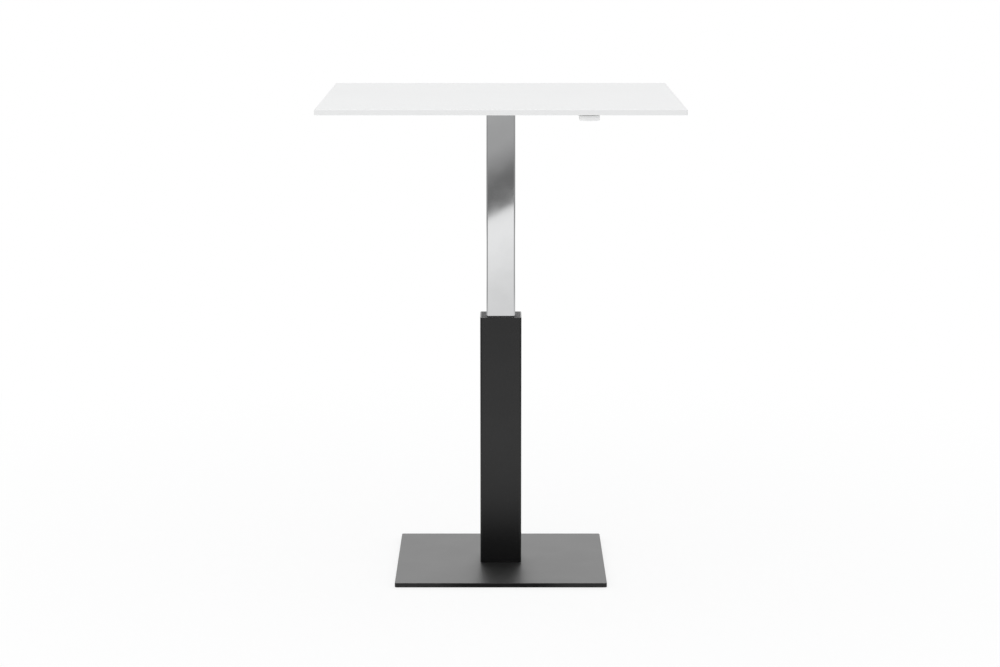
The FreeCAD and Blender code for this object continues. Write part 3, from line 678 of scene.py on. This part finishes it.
class Maker:
    """Shared work of the sub-assemblies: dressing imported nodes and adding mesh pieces."""

    def __init__(self, frame: dict[str, Any], finishes: Finishes) -> None:
        """Keep the frame and the finishes.

        Args:
            finishes: The materials.
        """
        self.frame = frame
        self.finishes = finishes

    def hinge(self, name: str) -> Vector:
        """Find where a joint's axis stands.

        Args:
            name: Name of the joint.

        Returns:
            A point on the axis, in the row frame.
        """
        return next(Vector(joint["pos_m"]) for joint in self.frame["joints"] if joint["name"] == name)

    def dress(self, material: bpy.types.Material, *nodes: str) -> None:
        """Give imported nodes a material.

        Args:
            material: The material.
            nodes: Names of the nodes.
        """
        for name in nodes:
            mesh = self.frame["nodes"][name].data
            mesh.materials.clear()
            mesh.materials.append(material)
            LOG.info("dressed %s in %s", name, material.name)

    def piece(
        self,
        name: str,
        shape: bmesh.types.BMesh,
        material: bpy.types.Material,
        body: Body,
        slot: Slot,
        replaces: Iterable[str] = (),
        angle: float = 32.0,
    ) -> bpy.types.Object:
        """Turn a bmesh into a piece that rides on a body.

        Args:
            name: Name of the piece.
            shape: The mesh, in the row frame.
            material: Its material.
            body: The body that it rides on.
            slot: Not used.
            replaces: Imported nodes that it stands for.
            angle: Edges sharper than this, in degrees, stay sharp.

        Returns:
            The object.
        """
        bmesh.ops.remove_doubles(shape, verts=shape.verts, dist=MERGE_DISTANCE)
        bmesh.ops.recalc_face_normals(shape, faces=shape.faces)
        mesh = bpy.data.meshes.new(name)
        shape.to_mesh(mesh)
        shape.free()
        mesh.polygons.foreach_set("use_smooth", [True] * len(mesh.polygons))
        mesh.set_sharp_from_angle(angle=math.radians(angle))
        mesh.materials.append(material)
        made = bpy.data.objects.new(name, mesh)
        bpy.context.scene.collection.objects.link(made)
        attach(made, body.value)
        nodes = list(replaces)
        if nodes:
            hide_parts(*nodes)
        LOG.info("made %s with %d faces on %s", name, len(mesh.polygons), body.value)
        return made


def box_into(shape: bmesh.types.BMesh, low: Triple, high: Triple) -> None:
    """Add a box to a bmesh.

    Args:
        shape: The bmesh.
        low: Lowest corner.
        high: Highest corner.
    """
    middle = (Vector(low) + Vector(high)) / 2
    size = Vector(high) - Vector(low)
    place = Matrix.Translation(middle) @ Matrix.Diagonal((*size, 1.0))
    bmesh.ops.create_cube(shape, size=1.0, matrix=place)


def round_edges(
    shape: bmesh.types.BMesh, chosen: Callable[[bmesh.types.BMEdge], bool], radius: float, segments: int
) -> None:
    """Bevel the edges that a test picks.

    Args:
        shape: The bmesh.
        chosen: Test of an edge.
        radius: Width of the bevel.
        segments: Steps across it.
    """
    bmesh.ops.bevel(
        shape,
        geom=[edge for edge in shape.edges if chosen(edge)],
        offset=radius,
        offset_type="OFFSET",
        affect="EDGES",
        segments=segments,
        profile=ROUND_PROFILE,
        material=-1,
        clamp_overlap=True,
    )


def sharp(edge: bmesh.types.BMEdge, degrees: float) -> bool:
    """Whether an edge between two faces turns by more than an angle.

    Args:
        edge: The edge.
        degrees: The angle.

    Returns:
        True for a sharp edge.
    """
    return len(edge.link_faces) == 2 and edge.calc_face_angle(0.0) > math.radians(degrees)


def runs_along(edge: bmesh.types.BMEdge, axis: Axis, least: float = 0.001) -> bool:
    """Whether an edge reaches further than a length along an axis.

    Args:
        edge: The edge.
        axis: The axis.
        least: The length, in metres.

    Returns:
        True for such an edge.
    """
    start, end = (vert.co[axis.place] for vert in edge.verts)
    return abs(start - end) > least


def turned(shape: bmesh.types.BMesh, outline: list[Pair], centre: Vector, axis: Axis, steps: int) -> None:
    """Spin an outline of (radius, along) points round an axis.

    Args:
        shape: The bmesh.
        outline: Points of a closed outline.
        centre: Point on the axis where along is 0.
        axis: X or Y.
        steps: Steps of the full turn.
    """
    points = [centre + axis.unit * along + Axis.Z.unit * radius for radius, along in outline]
    verts = [shape.verts.new(point) for point in points]
    edges = [shape.edges.new((a, b)) for a, b in zip(verts, verts[1:] + verts[:1])]
    bmesh.ops.spin(
        shape,
        geom=verts + edges,
        cent=centre,
        axis=axis.unit,
        dvec=(0, 0, 0),
        angle=math.tau,
        steps=steps,
        use_merge=True,
        use_duplicate=False,
    )


def join(target: bmesh.types.BMesh, shape: bmesh.types.BMesh) -> None:
    """Move one bmesh into another.

    Args:
        target: The bmesh that takes it.
        shape: The bmesh that is used up.
    """
    mesh = bpy.data.meshes.new("joining")
    shape.to_mesh(mesh)
    shape.free()
    target.from_mesh(mesh)
    bpy.data.meshes.remove(mesh)


@dataclass
class TableTop:
    """The board with its inserts."""

    maker: Maker

    def build(self) -> None:
        """Dress the board and the threaded inserts."""
        self.maker.dress(self.maker.finishes.laminate, "table_top")
        self.maker.dress(self.maker.finishes.brass, "top_inserts")


@dataclass
class Base:
    """Base plate, glides and the bolts under it."""

    maker: Maker

    def build(self) -> None:
        """Dress the plate, its glides and its bolts."""
        self.maker.dress(self.maker.finishes.plate_coat, "base_plate")
        self.maker.dress(self.maker.finishes.black, "base_glides")
        self.maker.dress(self.maker.finishes.plated, "foot_bolts", "cylinder_washer", "cylinder_nut")


@dataclass
class LowerColumn:
    """Black outer tube with its foot and its guide collar."""

    maker: Maker

    def build(self) -> None:
        """Dress the tube, the foot and the collar."""
        self.maker.dress(self.maker.finishes.coat, "lower_column")
        self.maker.dress(self.maker.finishes.drawn, "column_foot")
        self.maker.dress(self.maker.finishes.black, "guide_collar")


@dataclass
class UpperColumn:
    """Bright inner tube, its top plate, its weld and its guide shoe.

    The crown is the share of the weld's reach that swells round; the rest is straight.
    """

    maker: Maker
    corner: float = 0.004
    corner_steps: int = 8
    leg: float = 0.0024
    leg_cuts: int = 5
    crown: float = 0.55

    def build(self) -> None:
        """Dress the tube, plate, screws and shoe, and lay the weld bead."""
        self.maker.dress(self.maker.finishes.chrome, "upper_column")
        self.maker.dress(self.maker.finishes.satin, "top_plate")
        self.maker.dress(self.maker.finishes.plated, "top_screws", "guide_screws")
        self.maker.dress(self.maker.finishes.black, "lower_guide")
        self.lay_weld()

    def upright(self, edge: bmesh.types.BMEdge) -> bool:
        """Whether an edge of the bead runs up its leg."""
        return runs_along(edge, Axis.Z, self.leg / 2)

    def lay_weld(self) -> None:
        """Run a fillet weld round the tube under the plate."""
        low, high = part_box("upper_column")
        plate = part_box("top_plate")[0].z
        toe = plate - self.leg
        shape = bmesh.new()
        box_into(shape, (low.x, low.y, toe), (high.x, high.y, plate))
        round_edges(shape, self.upright, self.corner, self.corner_steps)
        caps = [face for face in shape.faces if abs(face.normal.z) > FACING]
        bmesh.ops.delete(shape, geom=caps, context="FACES_ONLY")
        uprights = [edge for edge in shape.edges if self.upright(edge)]
        bmesh.ops.subdivide_edges(shape, edges=uprights, cuts=self.leg_cuts, use_grid_fill=True)
        for vert in shape.verts:
            rise = (vert.co.z - toe) / self.leg
            swell = math.sin(rise * math.pi / 2) ** 2
            reach = self.leg * (swell * self.crown + rise * (1.0 - self.crown))
            vert.co += Vector((vert.normal.x, vert.normal.y, 0.0)).normalized() * reach
        self.maker.piece("column_weld", shape, self.maker.finishes.weld, Body.UPPER, Slot.CHROME)


@dataclass
class GasSpring:
    """The locking gas spring inside the columns."""

    maker: Maker

    def build(self) -> None:
        """Dress the cylinder, gland, wiper, rod and piston."""
        self.maker.dress(self.maker.finishes.tube_paint, "gas_cylinder", "cylinder_gland")
        self.maker.dress(self.maker.finishes.rubber, "rod_wiper", "piston_seal")
        self.maker.dress(self.maker.finishes.rod, "piston_rod", "valve_pin")
        self.maker.dress(self.maker.finishes.alloy, "piston")
        self.maker.dress(self.maker.finishes.plated, "piston_nut", "rod_nut")


@dataclass
class ReleaseHead:
    """Hanger, rocker and pin in the head of the column."""

    maker: Maker

    def build(self) -> None:
        """Dress the hanger, the rocker and their pin."""
        self.maker.dress(self.maker.finishes.plated, "rod_hanger", "hanger_screws", "rocker_rings")
        self.maker.dress(self.maker.finishes.plated, "release_rocker")
        self.maker.dress(self.maker.finishes.drawn, "rocker_pin")


@dataclass
class ReleaseCable:
    """Sheathed cable from the paddle to the rocker, with its adjuster and clips.

    The thread's foot and crest are half widths, as shares of its pitch.
    """

    maker: Maker
    head_radius: float = 0.006
    head_length: float = 0.006
    head_edge: float = 0.0006
    stem_radius: float = 0.004
    bore: float = 0.0026
    wire_bore: float = 0.0011
    seat: float = 0.012
    turn_steps: int = 48
    pitch: float = 0.00125
    thread_depth: float = 0.0004
    thread_sink: float = 0.0001
    thread_foot: float = 0.45
    thread_crest: float = 0.06
    thread_steps: int = 24
    teeth: int = 44
    tooth_height: float = 0.0003
    tooth_side: float = 0.00045
    tooth_inset: float = 0.00035
    tooth_margin: float = 0.0008

    @property
    def centre(self) -> Vector:
        """Middle of the adjuster's front face, on the axis of the wire."""
        middle = sum(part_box("cable_wire_rear"), Vector()) / 2
        return Vector((middle.x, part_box("cable_adjuster")[0].y, middle.z))

    @property
    def length(self) -> float:
        """Length of the adjuster."""
        low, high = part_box("cable_adjuster")
        return high.y - low.y

    @property
    def thread_root(self) -> float:
        """Radius at the foot of the thread."""
        return self.stem_radius - self.thread_depth

    def build(self) -> None:
        """Dress the cable and make the adjuster."""
        self.maker.dress(self.maker.finishes.vinyl, "cable_sheath")
        self.maker.dress(self.maker.finishes.black, "cable_clips")
        self.maker.dress(self.maker.finishes.plated, "adjuster_nuts", "clip_screws")
        self.maker.dress(self.maker.finishes.strand, "cable_wire_front", "cable_wire_rear")
        self.make_adjuster()

    def make_adjuster(self) -> None:
        """Turn the hollow adjuster screw, with a knurled head and a real thread."""
        shape = bmesh.new()
        rim = self.head_radius - self.tooth_height
        outline = [
            (self.bore, 0.0),
            (rim - self.head_edge, 0.0),
            (rim, self.head_edge),
            (rim, self.head_length - self.head_edge),
            (rim - self.head_edge, self.head_length),
            (self.thread_root, self.head_length),
            (self.thread_root, self.length),
            (self.wire_bore, self.length),
            (self.wire_bore, self.seat),
            (self.bore, self.seat),
        ]
        turned(shape, outline, self.centre, Axis.Y, self.turn_steps)
        self.cut_thread(shape)
        self.knurl(shape)
        finish = self.maker.finishes.plated
        replaced = ("cable_adjuster",)
        self.maker.piece("cable_adjuster_screw", shape, finish, Body.UPPER, Slot.PLATED_STEEL, replaced)

    def cut_thread(self, shape: bmesh.types.BMesh) -> None:
        """Wind a thread ridge along the stem.

        Args:
            shape: The bmesh.
        """
        start = self.centre + Axis.Y.unit * (self.head_length + self.pitch)
        turns = int((self.length - self.head_length - 2 * self.pitch) / self.pitch)
        sunk = self.thread_root - self.thread_sink
        ridge = [
            (sunk, -self.thread_foot),
            (self.stem_radius, -self.thread_crest),
            (self.stem_radius, self.thread_crest),
            (sunk, self.thread_foot),
        ]
        points = [start + Vector((0, along * self.pitch, radius)) for radius, along in ridge]
        verts = [shape.verts.new(point) for point in points]
        edges = [shape.edges.new(pair) for pair in zip(verts, verts[1:])]
        bmesh.ops.spin(
            shape,
            geom=verts + edges,
            cent=start,
            axis=Axis.Y.unit,
            dvec=Axis.Y.unit * (self.pitch / self.thread_steps),
            angle=math.tau * turns,
            steps=self.thread_steps * turns,
            use_merge=False,
            use_duplicate=False,
        )

    def knurl(self, shape: bmesh.types.BMesh) -> None:
        """Set straight teeth round the head.

        Args:
            shape: The bmesh.
        """
        middle = self.centre + Axis.Y.unit * (self.head_length / 2)
        length = self.head_length - 2 * self.tooth_margin
        on_edge = Matrix.Rotation(math.radians(45), 4, "Y")
        tooth = on_edge @ Matrix.Diagonal((self.tooth_side, length, self.tooth_side, 1.0))
        out = Matrix.Translation((0, 0, self.head_radius - self.tooth_inset))
        for number in range(self.teeth):
            turn = Matrix.Rotation(math.tau * number / self.teeth, 4, "Y")
            bmesh.ops.create_cube(shape, size=1.0, matrix=Matrix.Translation(middle) @ turn @ out @ tooth)


@dataclass
class ReleasePaddle:
    """The finger paddle under the front edge, its housing and its pin.

    The lip's gap and drop are measured down from the board, and shares are of the blade's length.
    """

    maker: Maker
    lip_gap: float = 0.0044
    lip_drop: float = 0.0148
    lip_share: float = 0.25
    blade_length: float = 0.025
    hollow_share: float = 0.5
    hollow: float = 0.0033
    root_rise: float = 0.002
    corner: float = 0.0045
    corner_steps: int = 6
    edge_radius: float = 0.0008
    edge_steps: int = 3
    edge_angle: float = 22.0
    hub_radius: float = 0.004
    hub_width: float = 0.02
    hub_edge: float = 0.0004
    hub_steps: int = 36
    pin_bore: float = 0.00208
    web_lap: float = 0.0006
    web_end: float = 0.0032
    web_edge: float = 0.0006
    horn_width: float = 0.01
    horn_radius: float = 0.004
    horn_steps: int = 32
    barrel_bore: float = 0.0027
    slot: float = 0.001
    arm_low: float = 0.0028
    arm_high: float = 0.0034

    @property
    def pivot(self) -> Vector:
        """Middle of the paddle on the axis of its pin."""
        return self.maker.hinge("lever_lift")

    @property
    def root(self) -> float:
        """Where the blade ends behind, along Y."""
        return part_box("lever_paddle")[0].y + self.blade_length

    def build(self) -> None:
        """Dress the housing and make the paddle."""
        self.maker.dress(self.maker.finishes.white, "lever_housing")
        self.maker.dress(self.maker.finishes.plated, "housing_screws")
        self.maker.dress(self.maker.finishes.drawn, "lever_pin")
        self.make_paddle()

    def make_paddle(self) -> None:
        """Model the blade, hub and horn as one moulding."""
        shape = bmesh.new()
        self.blade(shape)
        self.neck(shape)
        self.horn(shape)
        finish = self.maker.finishes.white
        replaced = ("lever_paddle",)
        self.maker.piece("paddle_moulding", shape, finish, Body.LEVER, Slot.WHITE_PLASTIC, replaced)

    def blade(self, target: bmesh.types.BMesh) -> None:
        """Add the finger plate with its lip and hollow.

        Args:
            target: The bmesh that takes it.
        """
        low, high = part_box("lever_paddle")
        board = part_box("table_top")[0].z
        lip = board - self.lip_drop
        height = self.pivot.z
        profile = [
            (self.root, height + self.root_rise),
            (low.y, board - self.lip_gap),
            (low.y, lip),
            (low.y + self.blade_length * self.lip_share, lip),
            (low.y + self.blade_length * self.hollow_share, lip + self.hollow),
            (self.root, height - self.hub_radius),
        ]
        shape = bmesh.new()
        face = shape.faces.new([shape.verts.new((low.x, y, z)) for y, z in profile])
        far = bmesh.ops.extrude_face_region(shape, geom=[face])["geom"]
        verts = [part for part in far if isinstance(part, bmesh.types.BMVert)]
        bmesh.ops.translate(shape, verts=verts, vec=(high.x - low.x, 0, 0))
        bmesh.ops.recalc_face_normals(shape, faces=shape.faces)

        def under_lip(edge: bmesh.types.BMEdge) -> bool:
            """Whether an edge runs back along the lip's underside."""
            return all(vert.co.z < lip + SAME_LEVEL for vert in edge.verts) and runs_along(edge, Axis.Y)

        round_edges(shape, under_lip, self.corner, self.corner_steps)
        round_edges(shape, lambda edge: sharp(edge, self.edge_angle), self.edge_radius, self.edge_steps)
        join(target, shape)

    def neck(self, target: bmesh.types.BMesh) -> None:
        """Add the hub on the pin and the web from it to the blade.

        Args:
            target: The bmesh that takes it.
        """
        pivot = self.pivot
        half = self.hub_width / 2
        radius = self.hub_radius
        outline = [
            (self.pin_bore, -half),
            (radius - self.hub_edge, -half),
            (radius, -half + self.hub_edge),
            (radius, half - self.hub_edge),
            (radius - self.hub_edge, half),
            (self.pin_bore, half),
        ]
        turned(target, outline, pivot, Axis.X, self.hub_steps)
        shape = bmesh.new()
        box_into(
            shape,
            (pivot.x - half, self.root - self.web_lap, pivot.z - radius),
            (pivot.x + half, pivot.y - self.web_end, pivot.z + self.root_rise),
        )
        round_edges(shape, lambda edge: runs_along(edge, Axis.Y), self.web_edge, self.edge_steps)
        join(target, shape)

    def horn(self, target: bmesh.types.BMesh) -> None:
        """Add the forked horn that holds the cable's barrel.

        Args:
            target: The bmesh that takes it.
        """
        pivot = self.pivot
        radius = self.horn_radius
        wire_low, wire_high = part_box("cable_wire_front")
        eye = Vector((pivot.x, pivot.y, (wire_low.z + wire_high.z) / 2))
        for side in (-1, 1):
            low, high = sorted((side * self.slot, side * self.horn_width / 2))
            outline = [(self.barrel_bore, low), (radius, low), (radius, high), (self.barrel_bore, high)]
            turned(target, outline, eye, Axis.X, self.horn_steps)
            box_into(
                target,
                (eye.x + low, eye.y - radius, eye.z + self.arm_low),
                (eye.x + high, eye.y + radius, pivot.z - self.arm_high),
            )


@dataclass
class Studio:
    """White sweep, soft light and the camera at the photograph's angle.

    Stops are greys that mirrored rays see. Those of the floor (ahead, around and behind) are painted
    light and shade, set by the distance from the table in metres: a painted shadow near the table and
    painted pools of light and dark further out. Those of the walls (room, flank and backdrop) are set by
    the sine of a ray's rise. A bearing is the share of a place or a ray that lies along Y, from -1 in
    front to 1 behind.
    The floor keeps some shadow near the table, and none beyond the shadow's reach.
    """

    sensor: float = 36.0
    lens: float = 98.22
    camera_at: Triple = (-0.0019, -6.2337, 1.5689)
    tilt: float = 9.332
    lamp_size: Pair = (2.6, 2.0)
    lamp_power: float = 30.0
    lamp_at: Triple = (-1.7, -4.6, 2.5)
    lamp_aim: Triple = (0.0, 0.0, 0.6)
    soft_light: Triple = (0.91, 0.915, 0.92)
    white: Triple = (1.0, 1.0, 1.0)
    floor_front: float = -13.0
    floor_back: float = 14.0
    floor_half: float = 10.0
    floor_drop: float = 0.0002
    floor_white: Triple = (0.96, 0.96, 0.96)
    floor_rough: float = 0.9
    shadow_reach: Pair = (0.35, 2.6)
    shadow_glow: float = 0.8
    plate_margin: float = 0.0005
    ahead_bearing: Pair = (-0.96, -0.87)
    behind_bearing: Pair = (0.1, 0.5)
    room_bearing: Pair = (-0.8, -0.4)
    backdrop_bearing: Pair = (0.2, 0.65)
    # painted light and shade on the floor, seen only by mirrored rays: a painted shadow near the table,
    # painted pools further out
    ahead: Stops = (
        (0.25, 0.02), (0.36, 0.07), (0.5, 0.29), (0.65, 0.53), (0.85, 0.8), (1.15, 0.93), (2.5, 0.85),
        (3.6, 0.755), (4.2, 0.775), (4.6, 0.815), (5.3, 0.9), (6.1, 0.96), (6.95, 0.98), (7.2, 0.25),
        (7.6, 0.18), (8.5, 0.165), (9.5, 0.3), (10.3, 0.4), (13.0, 0.43),
    )
    around: Stops = (
        (0.2, 0.2), (0.42, 0.4), (0.8, 0.8), (1.3, 0.92), (1.75, 0.75), (2.1, 0.28), (2.7, 0.3), (3.2, 0.7),
        (3.8, 0.62), (4.4, 0.35), (8.0, 0.3),
    )
    behind: Stops = (
        (0.2, 0.2), (0.42, 0.35), (0.9, 0.7), (1.5, 0.76), (1.9, 0.8), (2.4, 0.62), (2.8, 0.4), (3.6, 0.44),
        (4.2, 0.5), (4.9, 0.84), (6.0, 0.9), (6.8, 0.36), (8.2, 0.3), (10.5, 0.5), (14.0, 0.6),
    )
    room: Stops = (
        (-0.1, 0.43), (-0.07, 0.44), (-0.045, 0.7), (-0.015, 0.76), (0.0, 0.7), (0.012, 0.25), (0.05, 0.1),
        (0.12, 0.05), (0.24, 0.05), (0.34, 0.3), (0.5, 0.28), (0.7, 0.85),
    )
    flank: Stops = (
        (-0.1, 0.4), (-0.06, 0.45), (-0.035, 0.7), (-0.01, 0.76), (0.006, 0.34), (0.04, 0.2), (0.14, 0.42),
        (0.26, 0.8), (0.34, 0.6), (0.46, 0.38), (0.62, 0.4), (0.74, 0.95),
    )
    backdrop: Stops = ((-0.3, 0.55), (-0.05, 1.0), (0.75, 1.0))

    def build(self) -> None:
        """Make the floor, the world, the lamp and the camera."""
        self.make_floor()
        self.make_world()
        self.make_lamp()
        self.make_camera()
        bpy.context.scene.view_settings.view_transform = "Standard"

    def make_floor(self) -> None:
        """Lay the pale floor, which shows white and keeps the soft shadow."""
        middle = (self.floor_front + self.floor_back) / 2
        half_depth = (self.floor_back - self.floor_front) / 2
        spread = Matrix.Diagonal((self.floor_half, half_depth, 1.0, 1.0))
        place = Matrix.Translation((0.0, middle, -self.floor_drop)) @ spread
        shape = bmesh.new()
        bmesh.ops.create_grid(shape, x_segments=1, y_segments=1, size=1.0, matrix=place)
        mesh = bpy.data.meshes.new("studio_floor")
        shape.to_mesh(mesh)
        shape.free()
        mesh.materials.append(self.floor_material())
        floor = bpy.data.objects.new("studio_floor", mesh)
        bpy.context.scene.collection.objects.link(floor)
        LOG.info("laid the floor")

    def floor_material(self) -> bpy.types.Material:
        """Build the floor's material.

        Returns:
            A white that keeps the shadow near the table and is open from below.
        """
        board = Board("studio_floor")
        board.fill(Base_Color=paint(self.floor_white), Roughness=self.floor_rough, Specular_IOR_Level=0.0)
        length = board.add("ShaderNodeVectorMath", operation="LENGTH")
        board.link(board.coords, length.inputs[0])
        reach = length.outputs["Value"]
        seen, mirrored = board.rays()
        lift = board.level(reach, self.shadow_glow, 1.0, *self.shadow_reach)
        glow = board.add("ShaderNodeEmission")
        # mirrored rays see the floor glow with the painted shadow and painted pools of light; the camera
        # sees white
        board.link(board.tint(mirrored, self.white, self.floor_painted_light(board, reach)), glow.inputs["Color"])
        lit = board.add("ShaderNodeMixShader")
        board.link(board.math("MAXIMUM", board.math("MULTIPLY", seen, lift), mirrored), lit.inputs[0])
        board.link(board.shader.outputs["BSDF"], lit.inputs[1])
        board.link(glow.outputs["Emission"], lit.inputs[2])
        opened = board.add("ShaderNodeMixShader")
        board.link(self.floor_openings(board, seen), opened.inputs[0])
        board.link(lit.outputs["Shader"], opened.inputs[1])
        board.link(board.add("ShaderNodeBsdfTransparent").outputs["BSDF"], opened.inputs[2])
        board.link(opened.outputs["Shader"], board.output.inputs["Surface"])
        return board.material

    def floor_painted_light(self, board: Board, reach: Socket) -> Socket:
        """Lay out the painted shadow near the table and the painted pools of light and dark that mirrored
        rays see.

        Args:
            board: The floor's nodes.
            reach: Distance from the table.

        Returns:
            The colour socket.
        """
        bearing = board.math("DIVIDE", board.axis(Axis.Y), reach)
        around = board.steps(reach, self.around)
        behind = board.level(bearing, 0.0, 1.0, *self.behind_bearing)
        painted_pools = board.tint(behind, around, board.steps(reach, self.behind))
        ahead = board.level(bearing, 1.0, 0.0, *self.ahead_bearing)
        return board.tint(ahead, painted_pools, board.steps(reach, self.ahead))

    def floor_openings(self, board: Board, seen: Socket) -> Socket:
        """Find where the floor lets light through: under the base plate, and from below.

        Args:
            board: The floor's nodes.
            seen: 1 on rays from the camera.

        Returns:
            The factor socket.
        """
        sides = (board.math("ABSOLUTE", board.axis(axis)) for axis in (Axis.X, Axis.Y))
        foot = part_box("base_plate")[1].x + self.plate_margin
        covered = board.math("LESS_THAN", board.math("MAXIMUM", *sides), foot)
        back = board.add("ShaderNodeNewGeometry").outputs["Backfacing"]
        return board.math("MAXIMUM", board.math("SUBTRACT", covered, seen), back)

    def make_world(self) -> None:
        """Surround the table with white, and with the greyer room in front that polished metal shows."""
        world = bpy.data.worlds.new("studio_world")
        bpy.context.scene.world = world
        world.use_nodes = True
        sky = Nodes(world.node_tree)
        split = sky.add("ShaderNodeSeparateXYZ")
        sky.link(sky.add("ShaderNodeTexCoord").outputs["Generated"], split.inputs["Vector"])
        bearing, rise = split.outputs["Y"], split.outputs["Z"]
        front, side, back = (sky.steps(rise, stops) for stops in (self.room, self.flank, self.backdrop))
        walls = sky.tint(sky.level(bearing, 0.0, 1.0, *self.room_bearing), front, side)
        walls = sky.tint(sky.level(bearing, 0.0, 1.0, *self.backdrop_bearing), walls, back)
        seen, mirrored = sky.rays()
        light = sky.tint(mirrored, self.soft_light, walls)
        glow = sky.add("ShaderNodeBackground")
        sky.link(sky.tint(seen, light, self.white), glow.inputs["Color"])
        sky.link(glow.outputs["Background"], sky.add("ShaderNodeOutputWorld").inputs["Surface"])

    def make_lamp(self) -> None:
        """Stand one wide soft lamp in front, high on the left."""
        data = bpy.data.lights.new("front_softbox", "AREA")
        data.shape = "RECTANGLE"
        data.size, data.size_y = self.lamp_size
        data.energy = self.lamp_power
        lamp = bpy.data.objects.new("front_softbox", data)
        lamp.location = self.lamp_at
        lamp.rotation_euler = (Vector(self.lamp_aim) - lamp.location).to_track_quat("-Z", "Y").to_euler()
        lamp.visible_glossy = False
        lamp.visible_camera = False
        bpy.context.scene.collection.objects.link(lamp)

    def make_camera(self) -> None:
        """Set the camera where the photograph was taken from."""
        data = bpy.data.cameras.new("photo_camera")
        data.sensor_width = self.sensor
        data.lens = self.lens
        camera = bpy.data.objects.new("photo_camera", data)
        camera.location = self.camera_at
        camera.rotation_euler = (math.radians(90.0 - self.tilt), 0.0, 0.0)
        bpy.context.scene.collection.objects.link(camera)
        bpy.context.scene.camera = camera


def main() -> None:
    """Dress the table piece by piece and set the studio round it."""
    logging.basicConfig(level=logging.INFO, format="%(message)s")
    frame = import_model()
    maker = Maker(frame, Finishes())
    Studio().build()
    assemblies = (
        TableTop, Base, LowerColumn, UpperColumn, GasSpring, ReleaseHead, ReleaseCable, ReleasePaddle,
    )
    for assembly in assemblies:
        assembly(maker).build()


if __name__ == "__main__":
    main()
